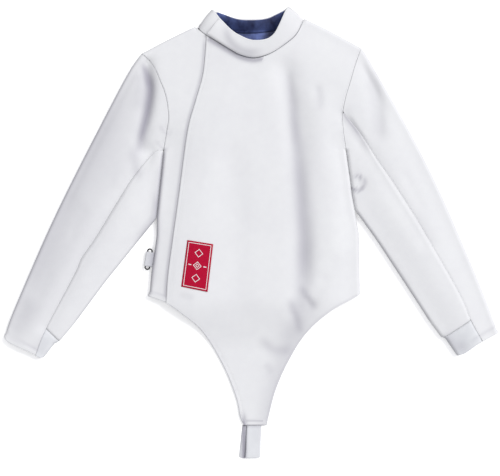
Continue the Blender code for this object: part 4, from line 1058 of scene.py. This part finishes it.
def collarCloth():
    last = len(rollMarks)
    sideFirst = last + bodyGrid["sideShoulder"] + last - 2      # first column at full roll on the neck
    tucked = neckEdge(sideFaces, list(range(sideFaces[0].shape[1] - 1, sideFirst, -1)))
    backFirst = last + bodyGrid["backShoulder"] + last - 2
    behind = neckEdge(backFaces, list(range(backFirst, backFaces[0].shape[1] - backFirst)))
    mainLast = mainFaces[0].shape[1] - (last + bodyGrid["shoulder"] + last - 2)
    before = neckEdge(mainFaces, list(range(mainLast, -1, -1)))
    atRight = [0.5 * (t[-1] + b[0]) for t, b in zip(tucked, behind)]
    atLeft = [0.5 * (t[-1] + b[0]) for t, b in zip(behind, before)]
    base = [np.vstack([tucked[k], atRight[k][None], behind[k], atLeft[k][None], before[k]]) for k in (0, 1)]
    knots = [0, len(tucked[0]), len(tucked[0]) + 1 + len(behind[0]), len(base[0]) - 1]
    middle = 0.5 * (base[0] + base[1])
    rim = []
    for key, low, high in zip(("tucked", "back", "front"), knots[:-1], knots[1:]):
        run = runOf(middle[low:high + 1])
        dense = curveThrough(collar[key])
        points = along(dense, run / run[-1] * runOf(dense)[-1])
        rim.append(points if high == knots[-1] else points[:-1])
    rim = np.vstack(rim)
    left = runOf(middle)[-1] - runOf(middle)
    over = 1.0 - smooth((left - collar["lapFrom"]) / collar["lapFade"])
    grid = np.array([(1 - v) * middle + v * rim for v in collar["rows"]])
    normal = unit(np.cross(np.gradient(grid, axis=1), np.gradient(grid, axis=0)))
    if normal[6, -12, 2] < 0:       # the front end's outer face looks up
        normal = -normal
    shares = np.array(collar["rows"])[:, None, None]
    grid = grid + normal * np.sin(math.pi * shares) * collar["bow"]
    away = np.zeros_like(middle)
    away[:, :2] = unit(middle[:, :2] - np.array(collar["middle"]))
    past = np.arange(len(middle)) - knots[2] + collar["frontFrom"]
    frontShare = smooth(past / collar["frontFade"])[None, :, None]
    lipFrom, lipFade = collar["lipFade"]
    lip = smooth(shares / collar["lipTo"]) * (1 - smooth((shares - lipFrom) / lipFade))
    grid = grid + frontShare * away[None] * collar["lip"] * lip
    stand = smooth(shares / collar["standTo"]) * (1 - shares) ** collar["standPower"]
    grid[..., 2] += (frontShare * collar["stand"] * stand)[..., 0]
    grid[1:, :, 2] += over[None] * (collar["cloth"] + laid["layerGap"]) * collar["lapLift"]
    outer, inner = grid + normal * collar["cloth"] / 2, grid - normal * collar["cloth"] / 2
    outer[0], inner[0] = base
    outer[..., 2] = np.maximum(outer[..., 2], collar["lowest"])
    return (outer, inner), normal, knots


collarFaces, collarNormal, collarKnots = collarCloth()
collarDone = easeEdges(collarFaces, allRound, reach=1.6)
sew(collarDone, "top", collar["edgeStitch"])
sew(collarDone, "right", collar["edgeStitch"], first=0.05, last=0.93)
sew(collarDone, "bottom", collar["seamStitch"], first=0.02, last=0.99)
clothPiece("collarBand", "collar", "white_cloth", collarDone, (0.50, 0.055), 0.0209, ("frontMain", "backPanel"),
           edgeReach=3.5, borders=("top", "right"))

lining = {
    "cloth": 0.8,
    "clear": 0.8,
    "foot": 4.0,            # the collar's lining turns in this far, at this height
    "crumpleAndSheen": 34.0,
    # deep blue, and the lighter blue of the painted sheen on the crumples
    "deep": (0.013, 0.02, 0.09),
    "light": (0.15, 0.21, 0.52),
    "inset": 26.0,
    "arc": ((-2.0, 84.0), (414.0, 66.0)),       # lower edge of the neck's lining: middle and half size each way
    "arcEnd": 8,
    "ripple": (0.5, 9.0, 13.0),
    "rippleFade": 8.0,
}
materials["blue_lining"] = satinMaterial(lining)


def collarLining():
    # the lining follows the collar's back, and turns in over the neck lining at its foot
    low, high = collarKnots[1] + 2, collarKnots[2] - 1
    inner, normal = collarFaces[1][2:, low:high], collarNormal[2:, low:high]
    face = inner - normal * lining["clear"]
    face[-1] = face[-1] * 0.97 + face[-2] * 0.03
    back = face - normal * lining["cloth"]
    foot, footBack = face[0].copy(), back[0].copy()
    foot[:, 1] -= lining["foot"]
    footBack[:, 1] -= lining["foot"]
    foot[:, 2], footBack[:, 2] = lining["foot"], lining["foot"] + lining["cloth"]
    return np.concatenate([foot[None], face]), np.concatenate([footBack[None], back])


def neckLining():
    neck = curveThrough(outline["neckBack"])
    top = along(neck, np.linspace(lining["inset"], runOf(neck)[-1] - lining["inset"], 49)) - np.array([0.0, 1.0])
    turn = np.radians(np.linspace(lining["arcEnd"], 180 - lining["arcEnd"], len(top)))
    (x, halfX), (y, halfY) = lining["arc"]
    low = np.stack([x - halfX * np.cos(turn), y - halfY * np.sin(turn)], axis=1)
    places = np.array([top + step * (low - top) for step in np.linspace(0.0, 1.0, 21)])
    rise, waveX, waveY = lining["ripple"]
    ripple = rise * np.sin(places[..., 0] / waveX) * np.sin(places[..., 1] / waveY)
    floorOf = np.full(places.shape[:2], laid["cloth"] + laid["layerGap"])
    runs = [edgeRun(np.dstack([places, floorOf]), border) for border in ("top", "bottom")]
    height = floorOf + (rise + ripple) * smooth(np.minimum(*runs) / lining["rippleFade"])
    return np.dstack([places, height + lining["cloth"]]), np.dstack([places, height])


clothPiece("collarLining", "collar_lining", "blue_lining", collarLining(), (0.24, 0.035), 0.0072, ("collarBand",))
clothPiece("neckLining", "neck_lining", "blue_lining", neckLining(), (0.18, 0.09), 0.0099, ("backPanel",))

print("label")
label = {
    "corners": [(-129.5, -14), (-76.5, -22.5), (-88, -120.5), (-142, -109.5)],
    "size": (54.0, 98.0),
    "cloth": 0.9,
    "lift": 0.5,
    "crimson": (0.50, 0.0, 0.034),
    "deepCrimson": (0.40, 0.0, 0.025),
    "white": (0.85, 0.84, 0.85),
    "frame": (23.0, 45.0, 0.55),        # the border line: half sizes and half width
    "lozenges": [(26.0, 8.0), (0.0, 8.0), (-26.0, 8.0), (0.0, 3.5)],
    "lozengeLine": 0.8,
    "bars": (15.5, 3.0, 0.9),
    "weave": (340.0, 620.0),
}


def labelFaces():
    a, b, c, d = (np.array(p, float) for p in label["corners"])
    v, u = np.meshgrid(np.linspace(0, 1, 49), np.linspace(0, 1, 29), indexing="ij")
    u, v = u[..., None], v[..., None]
    places = (1 - v) * ((1 - u) * a + u * b) + v * ((1 - u) * d + u * c)
    low = frontHeight(places, np.ones(places.shape[:-1])) + overlapLift(places) + label["lift"]
    return (np.dstack([places, low + label["cloth"]]), np.dstack([places, low])), np.concatenate([u, 1 - v], axis=2)


def labelMaterial():
    made, tree, shader = newMaterial("crimsonPatch", {"Specular IOR Level": 0.15})

    def calc(operation, *values):
        return maths(tree, operation, *values)

    def band(value, centre, half):
        return calc("LESS_THAN", calc("ABSOLUTE", calc("SUBTRACT", value, centre)), half)

    grain = grainOf(tree)
    place = splitPlace(tree, grain)
    right, up = (calc("MULTIPLY", calc("SUBTRACT", place[k], 0.5), label["size"][k]) for k in (0, 1))
    x, y = calc("ABSOLUTE", right), calc("ABSOLUTE", up)
    halfX, halfY, line = label["frame"]
    drawn = band(calc("MAXIMUM", calc("SUBTRACT", x, halfX), calc("SUBTRACT", y, halfY)), 0.0, line)
    # a column of plain lozenges with a short bar on each side of the middle one
    for centre, size in label["lozenges"]:
        lozenge = calc("ADD", x, calc("ABSOLUTE", calc("SUBTRACT", up, centre)))
        drawn = calc("MAXIMUM", drawn, band(lozenge, size, label["lozengeLine"]))
    barAt, barHalf, barLine = label["bars"]
    drawn = calc("MAXIMUM", drawn, calc("MULTIPLY", band(up, 0.0, barLine), band(x, barAt, barHalf)))
    thread = noise(tree, grain, 160.0, 2.0)
    red = mixColours(tree, thread, label["deepCrimson"], label["crimson"])
    across, down = (calc("SINE", calc("MULTIPLY", place[k], label["weave"][k])) for k in (0, 1))
    relief = calc("ADD", calc("MULTIPLY", across, down), calc("MULTIPLY", drawn, 2.0))
    feed(tree, shader, {"Base Color": mixColours(tree, drawn, red, label["white"]),
                        "Roughness": calc("MULTIPLY_ADD", thread, 0.2, 0.55),
                        "Normal": bumps(tree, relief, 0.5, 0.0004)})
    return made


patchFaces, patchMap = labelFaces()
for side in allRound:
    sew(patchFaces, side, 1.6, colour="crimson", first=0.03, last=0.97)
materials["crimson_patch"] = labelMaterial()
patchFaces = easeEdges(patchFaces, allRound, reach=2.0)
clothPiece("labelPatch", "label_patch", "crimson_patch", patchFaces, (0.054, 0.098), None, ("frontMain",),
           uvGrid=patchMap)

print("straps and casing")
strap = {
    "cloth": 1.2, "width": 30.0, "top": -397.4, "end": -465.5, "high": 4.8, "sideways": 13.0,
    "floorGap": 0.02, "endGap": 0.6, "turnX": 4.8,
    # the loop's middle line, across and up from its top: over it with the height, and back underneath
    "over": [(7.8, 0, 3.1), (7.5, -7, 3.5), (7.2, -15, 3.9), (6.7, -25, 4.2), (6.2, -35, 4.4), (5.8, -46.1, 4.6),
             (5.4, -56.1, 4.8)],
    "under": [(-7.5, -54.1), (-6.2, -42.6), (-5, -32.6), (-3.4, -16.6), (-1.6, 0)],
}


def ribbonFaces(path, width, thickness, across=17):
    path = np.array(path, float)
    run = np.gradient(path[:, 1:], runOf(path[:, 1:]), axis=0)
    normal = unit(np.stack([-run[:, 1], run[:, 0]], axis=1))
    faces = []
    for side in (0.5, -0.5):
        face = np.repeat(path[:, None], across, axis=1)
        face[..., 0] += np.linspace(-width / 2, width / 2, across)[None]
        face[..., 1:] += normal[:, None] * thickness * side
        faces.append(face)
    return faces


def crotchPath():
    top, low = strap["top"], strap["cloth"] / 2 + strap["floorGap"]
    radius = 0.5 * (strap["high"] - low)
    turnAt = strap["end"] + radius + strap["endGap"]
    path = [(x, top + y, z) for x, y, z in strap["over"]]
    for degrees in range(0, 181, 15):
        angle = math.radians(degrees)
        path.append((strap["turnX"] - strap["sideways"] * degrees / 180.0, turnAt - math.sin(angle) * radius,
                     low + radius * (1 + math.cos(angle))))
    return path + [(x, top + y, low) for x, y in strap["under"]]


crotchFaces = easeEdges(ribbonFaces(crotchPath(), strap["width"], strap["cloth"]), ("left", "right"), reach=1.5)
clothPiece("crotchStrap", "crotch_strap", "white_elastic", crotchFaces, (0.030, 0.137), held="folded")

casing = {"centre": (9.3, -392.5), "size": (36.0, 7.5, 1.9), "edge": 0.25, "rounding": (10, 4)}


def casingFaces():
    length, width, high = casing["size"]
    u, v = np.meshgrid(np.linspace(-1, 1, 37), np.linspace(-1, 1, 13))
    x, y = casing["centre"][0] + u * length / 2, casing["centre"][1] + v * width / 2
    low = np.full(u.shape, laid["cloth"] + laid["seamGap"])
    endPower, sidePower = casing["rounding"]
    dome = np.sqrt(np.clip(1 - v ** sidePower, 0, 1)) * np.sqrt(np.clip(1 - u ** endPower, 0, 1))
    return np.dstack([x, y, low + casing["edge"] + (high - casing["edge"]) * dome]), np.dstack([x, y, low])


for row in (2, 10):
    sewnLines["white"].append(casingFaces()[0][row, 2:-2] + np.array([0.0, 0.0, 0.05]))
clothPiece("tailCasing", "tail_casing", "white_cloth", casingFaces())

buckle = {
    "wire": 3.0, "size": (9.0, 42.0), "corner": 4.0, "centre": (-210.3, -53.5), "tilt": -9.0,
    "reach": 9.7, "out": 4.5, "clear": 0.45,        # the webbing's ends, its turn round the ring and its play there
    "cornerSteps": 8, "wireSteps": 16,
    "black": (0.006, 0.006, 0.007), "worn": (0.05, 0.05, 0.055), "wornFrom": 0.66,
}


def turned(x, y, centre):
    angle = math.radians(buckle["tilt"])
    cos, sin = math.cos(angle), math.sin(angle)
    return centre[0] + x * cos - y * sin, centre[1] + x * sin + y * cos


def sideStrapFaces():
    middle = buckle["wire"] / 2 + buckle["clear"] + strap["cloth"] / 2
    reach = buckle["reach"]
    line = [(x, middle) for x in np.linspace(reach, 0.0, 6)]
    for angle in (math.radians(a) for a in range(90, 271, 15)):
        line.append((-buckle["out"] + middle * math.cos(angle), middle * math.sin(angle)))
    line += [(x, -middle) for x in np.linspace(0.0, reach, 6)]
    line = np.array(line)
    run = np.gradient(line, axis=0)
    normal = unit(np.stack([-run[:, 1], run[:, 0]], axis=1))
    faces = []
    for side in (-0.5, 0.5):
        face = line + normal * strap["cloth"] * side
        faces.append(np.array([[(*turned(x, y, buckle["centre"]), laid["roll"] + z) for x, z in face]
                               for y in np.linspace(-strap["width"] / 2, strap["width"] / 2, 15)]))
    return faces


clothPiece("sideStrap", "side_strap", "white_elastic", easeEdges(sideStrapFaces(), ("top", "bottom"), reach=1.5),
           (0.030, 0.034), None, ("sideRing",), "folded")


def wireMaterial(looks):
    made, tree, shader = newMaterial("blackWire", {"Coat Weight": 0.1})
    wear = noise(tree, objectPlace(tree), 260.0, 4.0, 0.65)
    worn = maths(tree, "GREATER_THAN", wear, looks["wornFrom"])
    feed(tree, shader, {"Base Color": mixColours(tree, worn, looks["black"], looks["worn"]),
                        "Metallic": maths(tree, "MULTIPLY", worn, 0.6),
                        "Roughness": maths(tree, "MULTIPLY_ADD", wear, 0.3, 0.2)})
    return made


def ringPiece():
    halfX, halfY, corner = buckle["size"][0] / 2, buckle["size"][1] / 2, buckle["corner"]
    centre = (buckle["centre"][0] + halfX - buckle["out"], buckle["centre"][1])
    points, turns = [], buckle["cornerSteps"]
    for quarter, (sx, sy) in enumerate(((1, 1), (-1, 1), (-1, -1), (1, -1))):
        for part in range(turns + 1):
            angle = math.radians(90 * (quarter + part / turns))
            x = sx * (halfX - corner) + corner * math.cos(angle)
            y = sy * (halfY - corner) + corner * math.sin(angle)
            points.append((*turned(x, y, centre), laid["roll"]))
    points, steps = np.array(points), buckle["wireSteps"]
    side = np.cross(unit(np.roll(points, -1, axis=0) - np.roll(points, 1, axis=0)), np.array([0.0, 0.0, 1.0]))
    angles = (np.arange(steps) * math.tau / steps)[None, :, None]
    rings = points[:, None] + (side[:, None] * np.cos(angles) + [0, 0, 1] * np.sin(angles)) * buckle["wire"] / 2
    rings[..., :2] += laid["shift"]
    index = np.arange(len(points) * steps).reshape(-1, steps)
    after, beside = np.roll(index, -1, axis=0), np.roll(index, -1, axis=1)
    quads = np.stack([index, after, np.roll(after, -1, axis=1), beside], axis=2).reshape(-1, 4)
    mesh = bpy.data.meshes.new("sideRing")
    mesh.from_pydata((rings.reshape(-1, 3) * mm).tolist(), [], quads.tolist())
    mesh.shade_smooth()
    mesh.materials.append(wireMaterial(buckle))
    return addObject("sideRing", mesh)


dress(ringPiece(), "side_buckle")

print("stitching")
thread = {"pitch": 3.1, "length": 2.3, "radius": 0.34, "seed": 7, "lowest": 0.1}


def threadMaterial(name, light, deep):
    made, tree, shader = newMaterial(name, {"Sheen Weight": 0.1})
    grain = noise(tree, objectPlace(tree), 700.0, 2.0)
    feed(tree, shader, {"Base Color": mixColours(tree, grain, deep, light),
                        "Roughness": maths(tree, "MULTIPLY_ADD", grain, 0.2, 0.5)})
    return made


def makeStitchTree():
    # beads of thread set along a path, each a little longer or shorter
    tree = bpy.data.node_groups.new("stitchRow", "GeometryNodeTree")
    sockets = {}
    for label, kind in (("Path", "Geometry"), ("Pitch", "Float"), ("Length", "Float"), ("Radius", "Float"),
                        ("Seed", "Int"), ("Thread", "Material")):
        socket = tree.interface.new_socket(label, in_out="INPUT", socket_type="NodeSocket" + kind)
        sockets[label] = socket.identifier
    tree.interface.new_socket("Stitches", in_out="OUTPUT", socket_type="NodeSocketGeometry")
    given, end = tree.nodes.new("NodeGroupInput").outputs, tree.nodes.new("NodeGroupOutput")

    def node(kind, values, **settings):
        made = tree.nodes.new(kind)
        for label, value in settings.items():
            setattr(made, label, value)
        feed(tree, made, values)
        return made

    curve = node("GeometryNodeMeshToCurve", {0: given["Path"]})
    even = node("GeometryNodeResampleCurve", {"Curve": curve.outputs[0], "Length": given["Pitch"]}, mode="LENGTH")
    way = node("GeometryNodeInputTangent", {})
    turn = node("FunctionNodeAlignRotationToVector", {"Vector": way.outputs[0]}, axis="X")
    bead = node("GeometryNodeMeshUVSphere", {"Segments": 6, "Rings": 4, "Radius": 1.0})
    half = maths(tree, "MULTIPLY", given["Length"], 0.5)
    size = node("ShaderNodeCombineXYZ", {0: half, 1: given["Radius"], 2: given["Radius"]})
    shape = node("GeometryNodeTransform", {"Geometry": bead.outputs["Mesh"], "Scale": size.outputs[0]})
    vary = node("FunctionNodeRandomValue", {2: 0.85, 3: 1.1, "Seed": given["Seed"]})
    place = node("GeometryNodeInstanceOnPoints", {"Points": even.outputs[0], "Instance": shape.outputs[0],
                                                  "Rotation": turn.outputs[0], "Scale": vary.outputs[1]})
    real = node("GeometryNodeRealizeInstances", {0: place.outputs[0]})
    finish = node("GeometryNodeSetMaterial", {"Geometry": real.outputs[0], "Material": given["Thread"]})
    tree.links.new(finish.outputs[0], end.inputs[0])
    return tree, sockets


stitchTree, stitchSockets = makeStitchTree()


def stitchPiece(name, lines, material):
    points, edges = [], []
    for line in lines:
        base = len(points)
        places = np.array(line, float)
        places[:, :2] += laid["shift"]
        places[:, 2] = np.maximum(places[:, 2], thread["lowest"])
        points += (places * mm).tolist()
        edges += [(base + k, base + k + 1) for k in range(len(places) - 1)]
    mesh = bpy.data.meshes.new(name + "Path")
    mesh.from_pydata(points, edges, [])
    path = addObject(name + "Path", mesh)
    sewing = path.modifiers.new("stitches", "NODES")
    sewing.node_group = stitchTree
    for label in ("Pitch", "Length", "Radius"):
        sewing[stitchSockets[label]] = thread[label.lower()] * mm
    sewing[stitchSockets["Seed"]], sewing[stitchSockets["Thread"]] = thread["seed"], material
    graph = bpy.context.evaluated_depsgraph_get()
    graph.update()
    baked = bpy.data.meshes.new_from_object(path.evaluated_get(graph))
    bpy.data.objects.remove(path)
    baked.name = name
    baked.shade_smooth()
    made = addObject(name, baked)
    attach(made, "root")
    print(name, len(baked.polygons), "faces")


whiteThread = threadMaterial("whiteThread", (0.74, 0.74, 0.76), (0.62, 0.62, 0.65))
crimsonThread = threadMaterial("crimsonThread", (0.5, 0.01, 0.04), (0.36, 0.0, 0.02))
stitchPiece("stitching", sewnLines["white"], whiteThread)
stitchPiece("labelStitching", sewnLines["crimson"], crimsonThread)

print("floor, light and camera")
studio = {
    "floor": (0.95, 0.95, 0.955),
    "floorSize": 8.0,
    "floorLevel": -0.0004,
    "floorGlow": 0.36,
    "floorSeenByCloth": (0.52, 0.52, 0.53),
    "world": (0.97, 0.975, 1.0),
    "worldStrength": 0.68,
    "keyFrom": (1.35, 0.95, 1.75),    # the key light comes from the upper right
    "keyPower": 2.1,
    "keySoftness": 24.0,
    "aim": (-1.9, -10.6),
    "height": 3.0,
    "lens": 104.3,
}


def makeStudio():
    bpy.ops.mesh.primitive_plane_add(size=studio["floorSize"], location=(0, 0, studio["floorLevel"]))
    floor = bpy.context.active_object
    floor.name = "floor"
    paper, tree, shader = newMaterial("palePaper", {"Roughness": 0.9, "Emission Color": (1.0, 1.0, 1.0)})
    grain = noise(tree, objectPlace(tree), 2.0, 2.0)
    pale = mixColours(tree, grain, tuple(v - 0.01 for v in studio["floor"]), studio["floor"])
    # the camera sees the floor bright, and the cloth gets less light back from it
    seen = tree.nodes.new("ShaderNodeLightPath").outputs["Is Camera Ray"]
    feed(tree, shader, {"Base Color": mixColours(tree, seen, studio["floorSeenByCloth"], pale),
                        "Emission Strength": maths(tree, "MULTIPLY", seen, studio["floorGlow"])})
    floor.data.materials.append(paper)
    scene = bpy.context.scene
    scene.world = bpy.data.worlds.new("studio")
    scene.world.use_nodes = True
    sky = scene.world.node_tree
    feed(sky, sky.nodes["Background"], {0: studio["world"], 1: studio["worldStrength"]})
    data = bpy.data.lights.new("key", "SUN")
    data.energy, data.angle = studio["keyPower"], math.radians(studio["keySoftness"])
    lamp = addObject("key", data)
    lamp.location = studio["keyFrom"]
    lamp.rotation_euler = (-Vector(studio["keyFrom"])).to_track_quat("-Z", "Y").to_euler()
    lens = bpy.data.cameras.new("camera")
    lens.lens, lens.sensor_width = studio["lens"], 36.0
    camera = addObject("camera", lens)
    camera.location = (*(v * mm for v in studio["aim"]), studio["height"])
    scene.camera = camera
    scene.view_settings.view_transform = "Standard"


makeStudio()
